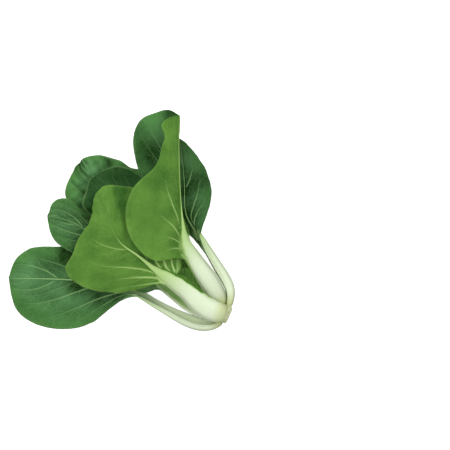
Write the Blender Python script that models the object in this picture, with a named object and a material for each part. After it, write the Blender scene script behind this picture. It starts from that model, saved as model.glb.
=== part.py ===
"""A small head of white-stalked pak choi, as picked, lying on its side.

The leaves grow from one short stem, cut at its lower end. A leaf is one piece: a thick crescent stalk that
thins into the midrib of a broad blade. Four outer leaves fan out, two of them on top with their undersides
up, and the leaves on the table show their upper sides. Sizes are in millimetres until a mesh is made.
+Z is up, the table is at 0, and the head's length runs from the lower right to the upper left.
"""

import math

import bmesh
import bpy
import numpy as np

MM = 0.001
UP = np.array((0.0, 0.0, 1.0))
TINY = 1e-9

# The middle of the head's outline in the table's plane, in the frame that the points below use
HEAD_MIDDLE = (0.1, 0.0)

# How finely a leaf is divided, and how much of a blade's row spacing is even
STALK_ROWS = 6
BLADE_ROWS = 11
RIB_COLUMNS = 2
BLADE_COLUMNS = 3
EVEN_ROWS = 0.55
CURVE_SAMPLES = 400

# Rows crowd towards the foot of a stalk, where it rounds in to this share of its width over this length
FOOT_CROWDING = 1.6
FOOT_SHARE = 0.75
FOOT_LENGTH = 6.0

# Where a leaf's rolls and the sizes of its rib are given: shares of its stalk, then of its blade
STALK_PLACES = (0, 0.35, 0.7, 1)
BLADE_PLACES = (0.2, 0.5, 1)

# The spine's direction is measured over this share of its length, both ways
DIRECTION_SHARE = 0.01

# A leaf's thickness at its blade, at its stalk's edges, and where it lies on the table
BLADE_THICKNESS = 0.9
STALK_EDGE_THICKNESS = 1.6
TABLE_THICKNESS = 0.75

# How far the margin runs ahead of the midrib that feeds it, which slants the veins
VEIN_LEAD = 0.35

# A section of the blade leaves the midrib sideways for part of its width, and meets the margin straight
LEAVING_SHARE = 0.3
LEAVING_MOST = 8.0
STRAIGHT_FROM = 0.6

# Where the leaf is narrow, this share of its width counts as the rib
RIB_SHARE = 0.4

# A blade's bulge and waves grow quickly from nothing at its start and fade as quickly at its tip
ARCH_POWER = 0.6

# The stem: its cut end's centre, the way it points into the head, and radii at distances from the cut
STEM_AT = (96.5, -85.1, 15.5)
STEM_AXIS = (-0.9, 0.42, 0.0)
STEM_PROFILE = ((6.2, -0.3), (7.4, 0.5), (8.1, 2.0), (7.8, 4.0), (6.6, 5.6), (4.6, 7.0), (3.4, 10.5),
                (1.6, 14.0))
STEM_SIDES = 20

# Edges sharper than these, in degrees, stay sharp in the shading
LEAF_SHARP = 60
STEM_SHARP = 40

DARK = (0.05, 0.16, 0.045)
LIGHT = (0.13, 0.28, 0.06)
PALE = (0.72, 0.72, 0.5)


def spline(at, values):
    """A smooth function that takes the given values at the given rising places."""
    at = np.array(at, float)
    values = np.array(values, float).reshape(len(at), -1)
    steps = np.diff(at)
    slopes = np.diff(values, axis=0) / steps[:, None]
    system = np.eye(len(at))
    target = np.zeros_like(values)
    for i in range(1, len(at) - 1):
        system[i, i - 1 : i + 2] = steps[i - 1], 2 * (steps[i - 1] + steps[i]), steps[i]
        target[i] = 6 * (slopes[i] - slopes[i - 1])
    bends = np.linalg.solve(system, target)

    def value(x):
        x = np.clip(np.asarray(x, float), at[0], at[-1])
        i = np.clip(np.searchsorted(at, x, side="right") - 1, 0, len(steps) - 1)
        step = steps[i][..., None]
        before = (at[i + 1] - x)[..., None] / step
        after = 1 - before
        bend = (before**3 - before) * bends[i] + (after**3 - after) * bends[i + 1]
        return before * values[i] + after * values[i + 1] + bend * step**2 / 6

    return value


def curve_through(points):
    """A smooth curve through the points, as a function of the share of its length."""
    points = np.array(points, float)
    chords = np.concatenate(([0.0], np.cumsum(np.linalg.norm(np.diff(points, axis=0), axis=1))))
    dense = spline(chords, points)(np.linspace(0, chords[-1], CURVE_SAMPLES))
    lengths = np.concatenate(([0.0], np.cumsum(np.linalg.norm(np.diff(dense, axis=0), axis=1))))
    shares = lengths / lengths[-1]

    def place(share):
        return np.stack([np.interp(share, shares, dense[:, k]) for k in range(3)], axis=-1)

    return place


def unit(vectors):
    return vectors / np.maximum(np.linalg.norm(vectors, axis=-1, keepdims=True), TINY)


def rise(x, low, high):
    """0 below low, 1 above high, and smooth between."""
    x = np.clip((x - low) / (high - low), 0, 1)
    return x * x * (3 - 2 * x)


def leaf_frame(leaf, shares):
    """The spine's points at the shares of its length, the directions round it, and the rib's sizes."""
    neck = leaf["neck"]
    spine = curve_through(leaf["spine"])
    after = spine(np.minimum(shares + DIRECTION_SHARE, 1))
    ahead = unit(after - spine(np.maximum(shares - DIRECTION_SHARE, 0)))
    places = [neck * share for share in STALK_PLACES]
    places += [neck + (1 - neck) * share for share in BLADE_PLACES]
    roll = np.radians(spline(places, leaf["rolls"])(shares))
    across = unit(np.cross(ahead, UP))
    lift = np.cross(across, ahead)
    length = np.sum(np.linalg.norm(np.diff(leaf["spine"], axis=0), axis=1))
    above_foot = np.clip(shares * length / FOOT_LENGTH, 0, 1)[:, None]
    rounding = FOOT_SHARE + (1 - FOOT_SHARE) * np.sqrt(1 - (1 - above_foot) ** 2)
    return dict(
        middle=spine(shares),
        ahead=ahead,
        right=np.cos(roll) * across - np.sin(roll) * lift,
        inner=(np.cos(roll) * lift + np.sin(roll) * across) * leaf["inner_side"],
        half=spline(places, leaf["half_widths"])(shares) * rounding,
        depth=spline(places, leaf["depths"])(shares),
        swell=spline(places, leaf["swells"])(shares),
    )


def margin_points(leaf, side, edge, shares, blade):
    """The rib's edge along the stalk, and the blade's margin from where that half of the blade starts."""
    start = [np.interp(side["start"], shares, edge[:, k]) for k in range(3)]
    margin = curve_through([start, *side["margin"], leaf["spine"][-1]])
    return np.where(blade[:, None] > 0, margin(blade * (1 + VEIN_LEAD * (1 - blade))), edge)


def half_leaf(leaf, side, sign, shares, frame, rib_columns, blade_columns):
    """Points from beside the spine out to one margin, and the swelling of the rib at each of them.

    The stalk and midrib lie square across the spine as a crescent. The blade leaves their edge smoothly,
    as a Bezier curve that ends at the margin.
    """
    middle, right, half = frame["middle"], sign * frame["right"], frame["half"]
    cup = frame["depth"] * frame["inner"]
    blade = np.clip((shares - side["start"]) / (1 - side["start"]), 0, 1)
    arch = (np.sin(math.pi * blade) ** ARCH_POWER)[:, None]
    margin = margin_points(leaf, side, middle + half * right + cup, shares, blade)

    rib = np.minimum(half, np.linalg.norm(margin - middle, axis=1, keepdims=True) * RIB_SHARE)
    rib_out = rib * np.arange(1, rib_columns + 1) / rib_columns
    rib_points = middle[:, None] + rib_out[..., None] * right[:, None]
    rib_points = rib_points + ((rib_out / half) ** 2)[..., None] * cup[:, None]

    rib_edge = rib_points[:, -1]
    reach = margin - rib_edge
    width = np.linalg.norm(reach, axis=1, keepdims=True)
    outward = np.sum(reach * right, axis=1, keepdims=True)
    facing = unit(np.cross(reach, frame["ahead"]) * sign)
    least = np.minimum(LEAVING_SHARE * width, side["turn"])
    leaving = rib_edge + right * np.maximum(np.minimum(LEAVING_SHARE * outward, LEAVING_MOST), least)
    arriving = rib_edge + STRAIGHT_FROM * reach + facing * side["bulge"] * arch
    t = (np.arange(1, blade_columns + 1) / blade_columns)[None, :, None]
    shares_of = ((1 - t) ** 3, 3 * t * (1 - t) ** 2, 3 * t**2 * (1 - t), t**3)
    controls = (rib_edge, leaving, arriving, margin)
    blade_points = sum(share * point[:, None] for share, point in zip(shares_of, controls))

    waves, height, phase = side["waves"]
    ripple = height * np.sin(2 * math.pi * (waves * blade + phase))[:, None] * arch
    blade_points = blade_points + (facing * ripple)[:, None] * t**3
    distance = np.concatenate((rib_out, rib + width * t[..., 0]), axis=1)
    swelling = frame["swell"] * np.clip(1 - (distance / half) ** 2, 0, 1)
    return np.concatenate((rib_points, blade_points), axis=1), swelling


def leaf_surface(leaf, shares, rib_columns, blade_columns):
    """The leaf's middle surface, one row of points for each share of the spine, and its two thicknesses.

    A row runs from the left margin over the spine to the right margin, as seen from above with the tip
    pointing away.
    """
    frame = leaf_frame(leaf, shares)
    divisions = (shares, frame, rib_columns, blade_columns)
    left, left_swelling = half_leaf(leaf, leaf["left"], -1, *divisions)
    right, right_swelling = half_leaf(leaf, leaf["right"], 1, *divisions)
    surface = np.concatenate((left[:, ::-1], frame["middle"][:, None], right), axis=1)
    swelling = np.concatenate((left_swelling[:, ::-1], frame["swell"], right_swelling), axis=1)
    thinned = rise(shares, 0.5 * leaf["neck"], leaf["neck"])
    sheet = STALK_EDGE_THICKNESS + (BLADE_THICKNESS - STALK_EDGE_THICKNESS) * thinned
    return surface, np.repeat(sheet[:, None], surface.shape[1], axis=1), swelling


def leaf_skins(surface, sheet, swelling, inner_side):
    """The upper and lower skins. The stalk and midrib swell out of the leaf's outer side only.

    Where the leaf lies on the table its underside is flat on it.
    """
    along = np.gradient(surface, axis=0)
    across = np.gradient(surface, axis=1)
    facing = unit(np.cross(across, along))
    half = sheet[..., None] / 2
    swelling = swelling[..., None]
    upper = surface + facing * (half + (swelling if inner_side < 0 else 0))
    lower = surface - facing * (half + (swelling if inner_side > 0 else 0))
    upper[..., 2] = np.maximum(upper[..., 2], TABLE_THICKNESS)
    lower[..., 2] = np.maximum(lower[..., 2], 0)
    return upper, lower


def to_metres(point):
    return ((point[0] - HEAD_MIDDLE[0]) * MM, (point[1] - HEAD_MIDDLE[1]) * MM, point[2] * MM)


def finish_object(name, mesh, material, sharp_degrees):
    bmesh.ops.recalc_face_normals(mesh, faces=mesh.faces)
    data = bpy.data.meshes.new(name)
    mesh.to_mesh(data)
    mesh.free()
    data.shade_smooth()
    data.set_sharp_from_angle(angle=math.radians(sharp_degrees))
    data.materials.append(material)
    made = bpy.data.objects.new(name, data)
    bpy.context.scene.collection.objects.link(made)
    return made


def skin_object(name, upper, lower, material):
    """One closed body from two skins of points whose last rows are single tip points."""
    mesh = bmesh.new()
    rows, columns = upper.shape[:2]
    last = rows - 1
    skins = []
    for skin in (upper, lower):
        grid = [[mesh.verts.new(to_metres(point)) for point in row] for row in skin[:last]]
        grid.append([mesh.verts.new(to_metres(skin[last, columns // 2]))] * columns)
        skins.append(grid)
    top, bottom = skins

    def add(*corners):
        corners = list(dict.fromkeys(corners))
        if len(corners) > 2:
            mesh.faces.new(corners)

    for i in range(last):
        for j in range(columns - 1):
            for grid, flip in ((top, False), (bottom, True)):
                a, b = grid[i][j], grid[i][j + 1]
                c, d = grid[i + 1][j + 1], grid[i + 1][j]
                for corners in ((a, b, c), (a, c, d)):
                    add(*(reversed(corners) if flip else corners))
        for j, flip in ((0, True), (columns - 1, False)):
            a, b = top[i][j], bottom[i][j]
            c, d = bottom[i + 1][j], top[i + 1][j]
            for corners in ((a, b, c), (a, c, d)):
                add(*(reversed(corners) if flip else corners))
    for j in range(columns - 1):
        a, b, c, d = top[0][j], bottom[0][j], bottom[0][j + 1], top[0][j + 1]
        add(a, b, c)
        add(a, c, d)
    return finish_object(name, mesh, material, LEAF_SHARP)


def plain_material(name, colour, roughness):
    material = bpy.data.materials.new(name)
    material.use_nodes = True
    shader = material.node_tree.nodes["Principled BSDF"]
    shader.inputs["Base Color"].default_value = (*colour, 1)
    shader.inputs["Roughness"].default_value = roughness
    return material


def row_shares(neck, stalk_rows, blade_rows):
    """The spine's shares at which a leaf has its rows of points, closer near the foot, neck and tip."""
    stalk = neck * np.linspace(0, 1, stalk_rows + 1) ** FOOT_CROWDING
    steps = np.linspace(0, 1, blade_rows + 1)
    closing = 0.5 - 0.5 * np.cos(math.pi * steps)
    blade = EVEN_ROWS * steps + (1 - EVEN_ROWS) * closing
    return np.concatenate((stalk, neck + (1 - neck) * blade[1:]))


def make_leaf(name, leaf):
    shares = row_shares(leaf["neck"], STALK_ROWS, BLADE_ROWS)
    surface, sheet, swelling = leaf_surface(leaf, shares, RIB_COLUMNS, BLADE_COLUMNS)
    upper, lower = leaf_skins(surface, sheet, swelling, leaf["inner_side"])
    return skin_object(name, upper, lower, plain_material(name, leaf["colour"], 0.5))


def make_stem():
    """A turned stub, cut flat at its lower end and thinning into the head."""
    mesh = bmesh.new()
    axis = unit(np.array(STEM_AXIS))
    side = unit(np.cross(axis, UP))
    top = np.cross(side, axis)
    rings = []
    for radius, along in STEM_PROFILE:
        centre = np.array(STEM_AT) + axis * along
        ring = []
        for k in range(STEM_SIDES):
            turn = 2 * math.pi * k / STEM_SIDES
            out = (side * math.cos(turn) + top * math.sin(turn)) * radius
            ring.append(mesh.verts.new(to_metres(centre + out)))
        rings.append(ring)
    for low, high in zip(rings, rings[1:]):
        for k in range(STEM_SIDES):
            mesh.faces.new((low[k], low[k - 1], high[k - 1], high[k]))
    mesh.faces.new(rings[0])
    mesh.faces.new(rings[-1])
    return finish_object("stem", mesh, plain_material("stem", PALE, 0.6), STEM_SHARP)


def blade_half(start, bulge, turn, waves, *margin):
    """One half of a blade: the spine's share where it starts, its bulge, its waves and its margin.

    The turn is how far it runs on from the midrib's edge, at least, before it bends to the margin. Waves
    are their number, height and phase.
    """
    return dict(start=start, bulge=bulge, turn=turn, waves=waves, margin=margin)


# Points are in millimetres. Half widths, depths and swells of the stalk and midrib run from base to tip,
# and rolls are in degrees.
LEAVES = {
    "leaf_low_left": dict(
        spine=((88.5, -89, 13), (83, -92, 11), (72.4, -93.2, 9), (62, -90.5, 8), (51, -85.4, 8),
               (40, -79.4, 8), (28, -72.6, 8.5), (17, -66, 9), (0, -60.5, 9), (-29, -54.5, 9),
               (-65, -52, 7), (-101.5, -51.5, 3)),
        neck=0.38, inner_side=1, colour=DARK,
        rolls=(70, 62, 58, 42, 8, 0, 0), half_widths=(5, 7, 4.4, 3.7, 2.2, 1.5, 0.5),
        depths=(1.5, 3, 2, 1.5, 0.8, 0.4, 0.1), swells=(3.5, 4.9, 4, 3.4, 1.8, 1, 0.2),
        left=blade_half(0.4, -1, 0, (3, 1.5, 0.1), (8.5, -68.2, 9), (-1, -71.7, 8),
            (-11, -79.2, 5.5), (-29, -92.5, 2), (-50, -97, 0.3), (-75, -94, 0.3), (-95, -79, 1)),
        right=blade_half(0.38, 2, 0, (3.5, 1.5, 0.3), (-2, -37, 11), (-29, -22, 11), (-57, -23, 8),
            (-83, -25, 4), (-97, -37, 2)),
    ),
    "leaf_front_left": dict(
        spine=((92, -82.6, 25), (83, -81, 26), (73, -75.7, 27), (60.1, -63.6, 29),
               (49.5, -55.4, 32), (38.4, -48.1, 35.5), (28, -41, 38.5), (12.6, -28.8, 42),
               (2.3, -21.6, 44), (-10.8, 0.9, 44), (-21, 25, 38)),
        neck=0.33, inner_side=-1, colour=LIGHT,
        rolls=(-6, -8, -6, -2, 4, 0, 0), half_widths=(8.5, 9.9, 8.6, 7.4, 2.9, 1.7, 0.5),
        depths=(1, 2.2, 2.4, 2.2, 1, 0.2, 0.1), swells=(2.6, 4, 4, 3.4, 1.8, 0.6, 0.1),
        left=blade_half(0.36, 3, 0, (3, 1.5, 0.2), (33, -56.2, 32), (26, -57, 31.5),
            (18, -60.5, 31), (8, -63, 30), (-15, -63.6, 28), (-36, -57, 26), (-50, -44, 26),
            (-44, -31, 28), (-38, -17, 31), (-28, -1, 33), (-25.5, 8, 34), (-24.5, 18, 35)),
        right=blade_half(0.34, 3, 0, (2.5, 1, 0.4), (53.2, -43, 29.5), (54, -37, 28.5),
            (52, -27, 28), (44, -12, 29), (30, 12, 30), (12, 29.5, 36), (0, 31, 37),
            (-13, 31.5, 37)),
    ),
    "leaf_front_right": dict(
        spine=((88, -74.8, 15), (85.2, -67, 17.5), (81, -58, 21.5), (73, -46, 26), (64, -32, 30),
               (58, -20, 33), (55, -8, 35), (53.5, 2, 36), (52, 19, 37), (51, 50, 37),
               (51, 74, 36), (52, 94, 32)),
        neck=0.33, inner_side=-1, colour=LIGHT,
        rolls=(0, 0, 0, 15, 60, 70, 50), half_widths=(8, 8.9, 7.7, 6.2, 2.4, 1.6, 0.5),
        depths=(2, 4, 3.8, 2.5, 1, 0.4, 0.1), swells=(2.5, 4.5, 4.6, 3.6, 2, 1.2, 0.2),
        left=blade_half(0.29, 3, 2, (3, 1, 0.2), (46, -33, 37), (34, -35.5, 44), (13.5, -22, 48),
            (4.5, 5, 50), (14, 32, 51), (33, 52, 48), (36.8, 67, 45), (39.3, 76.5, 42.5),
            (36.6, 84.5, 40.5), (44, 92, 37)),
        right=blade_half(0.36, 2, 2.5, (2.5, 1, 0.4), (58.5, -4, 30), (54, 6, 28), (45, 13.5, 27),
            (34.5, 22, 26), (25, 33, 25), (17, 42, 25), (13, 55, 25), (11, 67, 25), (12, 80, 25),
            (18, 91, 25.5), (31, 96.8, 27), (42, 99, 29)),
    ),
    "leaf_right": dict(
        spine=((95.6, -75, 14), (97, -65, 12), (94.4, -55.5, 11), (88.2, -45, 11), (81, -33, 12),
               (73.4, -20.2, 12.5), (66.5, -9, 12), (58.5, 4.5, 11), (56.5, 25, 10), (55, 50, 9),
               (52, 74, 7)),
        neck=0.38, inner_side=1, colour=DARK,
        rolls=(-84, -86, -85, -77, -25, 0, 0), half_widths=(4.5, 5.4, 5.2, 4.4, 2.4, 1.5, 0.5),
        depths=(1.5, 3.2, 3, 2.2, 0.8, 0.4, 0.1), swells=(3, 4.6, 4.2, 3.4, 1.8, 1, 0.2),
        left=blade_half(0.31, 1, 0, (2.5, 1, 0.2), (70, -23, 12.5), (63.5, -14.5, 13.5),
            (56, -8, 13), (47, 3, 12), (38, 19, 8), (35, 39, 8), (38, 58, 8), (45, 70, 8)),
        right=blade_half(0.43, 1, 0, (3, 1, 0.4), (71.4, -8.5, 16.5), (75.3, 2, 11),
            (78.8, 14, 4.5), (80.5, 26, 1), (78.8, 39, 0.3), (71, 53, 1), (60, 68, 3)),
    ),
    "leaf_mid_left": dict(
        spine=((86, -82, 7.5), (76, -83.2, 6.5), (66, -79.6, 6.5), (51.6, -69, 8), (36.5, -57, 11),
               (14, -41, 15), (-6, -26, 18), (-29, -10, 19), (-42, -2, 18), (-66.5, 5, 13)),
        neck=0.36, inner_side=1, colour=DARK,
        rolls=(10, 5, 1, 0, 0, 0, 0), half_widths=(2, 5.2, 5.4, 4.6, 3, 1.6, 0.5),
        depths=(0.5, 1.5, 1.8, 1.5, 0.8, 0.4, 0.1), swells=(2.5, 3.6, 3.6, 3, 2, 1.2, 0.2),
        left=blade_half(0.31, -1, 0, (3, 1, 0.2), (32, -61.2, 12), (24, -64, 13), (12, -62, 15),
            (-11, -52, 17), (-33, -37, 18), (-45, -28, 17), (-61, -16, 15), (-65, -6, 14)),
        right=blade_half(0.38, 1, 0, (2.5, 1, 0.4), (11, -25, 16), (-4, -15, 18), (-17, -7, 19),
            (-28, 1, 19), (-37, 11, 19), (-47, 19.5, 18), (-58, 19, 16)),
    ),
    "leaf_upper_left": dict(
        spine=((87, -77, 6), (70, -68, 4.2), (43, -43, 4.2), (25, -22, 5), (3, 5.5, 5.5),
               (-20, 32, 5), (-36, 55, 2)),
        neck=0.38, inner_side=1, colour=DARK,
        rolls=(0, 0, 0, 0, 0, 0, 0), half_widths=(2, 4.2, 4.8, 4.2, 3, 1.6, 0.5),
        depths=(0.5, 1.5, 1.4, 1, 0.8, 0.4, 0.1), swells=(2.5, 3.5, 3.6, 3, 2, 1.2, 0.2),
        left=blade_half(0.38, 1, 0, (3, 1, 0.2), (4, -16, 7), (-24, -3, 6), (-42, 10, 4),
            (-51, 24, 1.5), (-47, 39, 0.3), (-41, 50, 0.5)),
        right=blade_half(0.38, 1, 0, (2.5, 1, 0.4), (30, -8, 8), (31, 14, 8), (26, 33, 7),
            (17, 46, 6.5), (8, 48, 6), (0, 53.5, 5), (-9, 56.5, 4), (-23, 59.5, 2)),
    ),
    "leaf_shaded": dict(
        spine=((90.5, -73, 8), (76, -60, 7.2), (54, -38, 9.5), (36, -17, 13), (17, 3, 16),
               (-4, 23, 17), (-22, 41, 15)),
        neck=0.38, inner_side=1, colour=DARK,
        rolls=(0, 0, 0, 0, 0, 0, 0), half_widths=(2, 3.8, 4.2, 3.6, 2.4, 1.4, 0.5),
        depths=(0.5, 1.2, 1.3, 1, 0.6, 0.3, 0.1), swells=(2.5, 3, 3.1, 2.6, 1.6, 1, 0.2),
        left=blade_half(0.38, 1, 0, (3, 1, 0.2), (15, -14, 15), (-8, -4, 15), (-25, 4, 15),
            (-35, 14, 14), (-32, 26, 14), (-28, 37, 14)),
        right=blade_half(0.38, 1, 0, (2.5, 1, 0.4), (39, -4, 14), (34, 19, 15), (26, 33, 15),
            (17, 41, 14), (4, 48, 14), (-8, 48.5, 14)),
    ),
    "leaf_heart_left": dict(
        spine=((77, -75, 13), (69, -66, 14.2), (62, -54, 16.5), (55, -42, 19)),
        neck=0.3, inner_side=1, colour=DARK,
        rolls=(0, 0, 0, 0, 0, 0, 0), half_widths=(1.5, 2.2, 2.2, 1.8, 1.2, 0.7, 0.4),
        depths=(0.3, 0.5, 0.5, 0.5, 0.4, 0.2, 0.1), swells=(1.5, 1.6, 1.5, 1.3, 0.8, 0.5, 0.2),
        left=blade_half(0.3, 0.2, 2, (2, 0.3, 0.2), (62, -66, 16.5), (53, -56, 18.5),
            (50, -46, 20)),
        right=blade_half(0.3, 0.2, 2, (2, 0.3, 0.4), (71, -58, 15.5), (66, -49, 16.5),
            (60, -42, 18.5)),
    ),
    "leaf_heart_right": dict(
        spine=((81.5, -73.5, 10.8), (74.8, -63.5, 11.6), (68, -50, 13.5), (58, -31, 17)),
        neck=0.3, inner_side=1, colour=DARK,
        rolls=(0, 0, 0, 0, 0, 0, 0), half_widths=(1.4, 2.6, 2.7, 2.2, 1.2, 0.7, 0.4),
        depths=(0.2, 0.3, 0.3, 0.3, 0.3, 0.2, 0.1), swells=(0.6, 0.9, 1, 0.9, 0.8, 0.5, 0.2),
        left=blade_half(0.3, 0.2, 2, (2, 0.3, 0.2), (69, -60, 12), (59, -48, 13.5),
            (53, -36, 15.5)),
        right=blade_half(0.3, 0.2, 2, (2, 0.3, 0.4), (78, -55, 12.5), (74, -43, 14.5),
            (66, -33, 16.5)),
    ),
}


def clear_scene():
    for thing in list(bpy.data.objects):
        bpy.data.objects.remove(thing, do_unlink=True)


def main():
    clear_scene()
    make_stem()
    for name, leaf in LEAVES.items():
        make_leaf(name, leaf)


main()
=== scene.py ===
"""A small head of white-stalked pak choi, dressed for its close look.

Each CAD leaf is replaced by a finer one from the same curves, with veins that sink into its upper side and
stand out of its underside, blades that pucker between the veins, and stalks with fine fibres.
"""

import math

import bpy
import numpy as np
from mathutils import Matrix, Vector


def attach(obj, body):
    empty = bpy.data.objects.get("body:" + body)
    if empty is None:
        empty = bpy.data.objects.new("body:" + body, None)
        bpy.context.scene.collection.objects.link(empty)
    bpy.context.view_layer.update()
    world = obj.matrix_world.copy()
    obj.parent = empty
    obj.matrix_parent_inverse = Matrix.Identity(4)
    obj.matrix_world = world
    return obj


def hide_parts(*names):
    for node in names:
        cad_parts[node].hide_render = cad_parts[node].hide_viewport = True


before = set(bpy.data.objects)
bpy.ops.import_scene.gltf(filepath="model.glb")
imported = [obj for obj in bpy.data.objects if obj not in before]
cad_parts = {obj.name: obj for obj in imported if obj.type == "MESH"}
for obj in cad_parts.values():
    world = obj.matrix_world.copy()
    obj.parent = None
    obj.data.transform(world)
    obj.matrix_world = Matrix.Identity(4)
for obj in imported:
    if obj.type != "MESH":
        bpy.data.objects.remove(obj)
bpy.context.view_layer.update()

MM = 0.001
UP = np.array((0.0, 0.0, 1.0))
TINY = 1e-9

# The middle of the head's outline in the table's plane, in the frame that the points below use, in
# millimetres
HEAD_MIDDLE = (0.1, 0.0)

# How finely a leaf is divided: stalk rows, blade rows, rib columns and blade columns
LEAF_DIVISIONS = (40, 150, 7, 34)
YOUNG_DIVISIONS = (26, 80, 4, 18)
YOUNG_LEAVES = ("leaf_heart_left", "leaf_heart_right")

# How much of the spacing of a blade's rows is even. The rest of it crowds them at both ends.
EVEN_ROWS = 0.55

# How many points a curve is divided by. Between them it counts as straight.
CURVE_SAMPLES = 400

# The power by which rows crowd towards the foot of a stalk, the share of its width that the foot rounds in
# to, and the length over which it does, in millimetres
FOOT_CROWDING = 1.6
FOOT_SHARE = 0.75
FOOT_LENGTH = 6.0

# Where a leaf's rolls and the sizes of its rib are given: shares of its stalk, then of its blade
STALK_PLACES = (0, 0.35, 0.7, 1)
BLADE_PLACES = (0.2, 0.5, 1)

# The spine's direction is measured over this share of its length, both ways
DIRECTION_SHARE = 0.01

# A leaf's thickness in millimetres at its blade, at its stalk's edges, where it lies on the table, and at
# its margin
BLADE_THICKNESS = 0.9
STALK_EDGE_THICKNESS = 1.6
TABLE_THICKNESS = 0.75
MARGIN_THICKNESS = 0.45

# Share of the stalk from which it thins to the blade's thickness
STALK_THINS_FROM = 0.5

# How far the margin runs ahead of the midrib that feeds it, which slants the veins
VEIN_LEAD = 0.35

# A section of the blade leaves the midrib sideways for this share of its width, at most so many
# millimetres, and heads straight for the margin from this share of it on
LEAVING_SHARE = 0.3
LEAVING_MOST = 8.0
STRAIGHT_FROM = 0.6

# Share of a half blade over which the stalk's own curve gives way to the blade's
STALK_BLEND = 0.05

# Where the leaf is narrow, this share of its width counts as the rib
RIB_SHARE = 0.4

# A blade's bulge and waves grow quickly from nothing at its start and fade as quickly at its tip
ARCH_POWER = 0.6


def spline(at, values):
    """A smooth function that takes the given values at the given rising places."""
    at = np.array(at, float)
    values = np.array(values, float).reshape(len(at), -1)
    steps = np.diff(at)
    slopes = np.diff(values, axis=0) / steps[:, None]
    system = np.eye(len(at))
    target = np.zeros_like(values)
    for i in range(1, len(at) - 1):
        system[i, i - 1 : i + 2] = steps[i - 1], 2 * (steps[i - 1] + steps[i]), steps[i]
        target[i] = 6 * (slopes[i] - slopes[i - 1])
    bends = np.linalg.solve(system, target)

    def value(x):
        x = np.clip(np.asarray(x, float), at[0], at[-1])
        i = np.clip(np.searchsorted(at, x, side="right") - 1, 0, len(steps) - 1)
        step = steps[i][..., None]
        before = (at[i + 1] - x)[..., None] / step
        after = 1 - before
        bend = (before**3 - before) * bends[i] + (after**3 - after) * bends[i + 1]
        return before * values[i] + after * values[i + 1] + bend * step**2 / 6

    return value


def curve_through(points):
    """A smooth curve through the points, as a function of the share of its length."""
    points = np.array(points, float)
    chords = np.concatenate(([0.0], np.cumsum(np.linalg.norm(np.diff(points, axis=0), axis=1))))
    dense = spline(chords, points)(np.linspace(0, chords[-1], CURVE_SAMPLES))
    lengths = np.concatenate(([0.0], np.cumsum(np.linalg.norm(np.diff(dense, axis=0), axis=1))))
    shares = lengths / lengths[-1]

    def place(share):
        return np.stack([np.interp(share, shares, dense[:, k]) for k in range(3)], axis=-1)

    return place


def unit(vectors):
    return vectors / np.maximum(np.linalg.norm(vectors, axis=-1, keepdims=True), TINY)


def rise(x, low, high):
    """0 below low, 1 above high, and smooth between."""
    x = np.clip((x - low) / (high - low), 0, 1)
    return x * x * (3 - 2 * x)


def leaf_frame(leaf, shares):
    """The spine's points at the shares of its length, the directions round it, and the rib's sizes."""
    neck = leaf["neck"]
    spine = curve_through(leaf["spine"])
    after = spine(np.minimum(shares + DIRECTION_SHARE, 1))
    ahead = unit(after - spine(np.maximum(shares - DIRECTION_SHARE, 0)))
    places = [neck * share for share in STALK_PLACES]
    places += [neck + (1 - neck) * share for share in BLADE_PLACES]
    roll = np.radians(spline(places, leaf["rolls"])(shares))
    across = unit(np.cross(ahead, UP))
    lift = np.cross(across, ahead)
    length = np.sum(np.linalg.norm(np.diff(leaf["spine"], axis=0), axis=1))
    above_foot = np.clip(shares * length / FOOT_LENGTH, 0, 1)[:, None]
    rounding = FOOT_SHARE + (1 - FOOT_SHARE) * np.sqrt(1 - (1 - above_foot) ** 2)
    return dict(
        middle=spine(shares),
        ahead=ahead,
        right=np.cos(roll) * across - np.sin(roll) * lift,
        inner=(np.cos(roll) * lift + np.sin(roll) * across) * leaf["inner_side"],
        half=spline(places, leaf["half_widths"])(shares) * rounding,
        depth=spline(places, leaf["depths"])(shares),
        swell=spline(places, leaf["swells"])(shares),
    )


def margin_points(leaf, side, edge, shares, blade):
    """The rib's edge along the stalk, and the blade's margin from where that half of the blade starts."""
    start = [np.interp(side["start"], shares, edge[:, k]) for k in range(3)]
    margin = curve_through([start, *side["margin"], leaf["spine"][-1]])
    return np.where(blade[:, None] > 0, margin(blade * (1 + VEIN_LEAD * (1 - blade))), edge)


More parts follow.
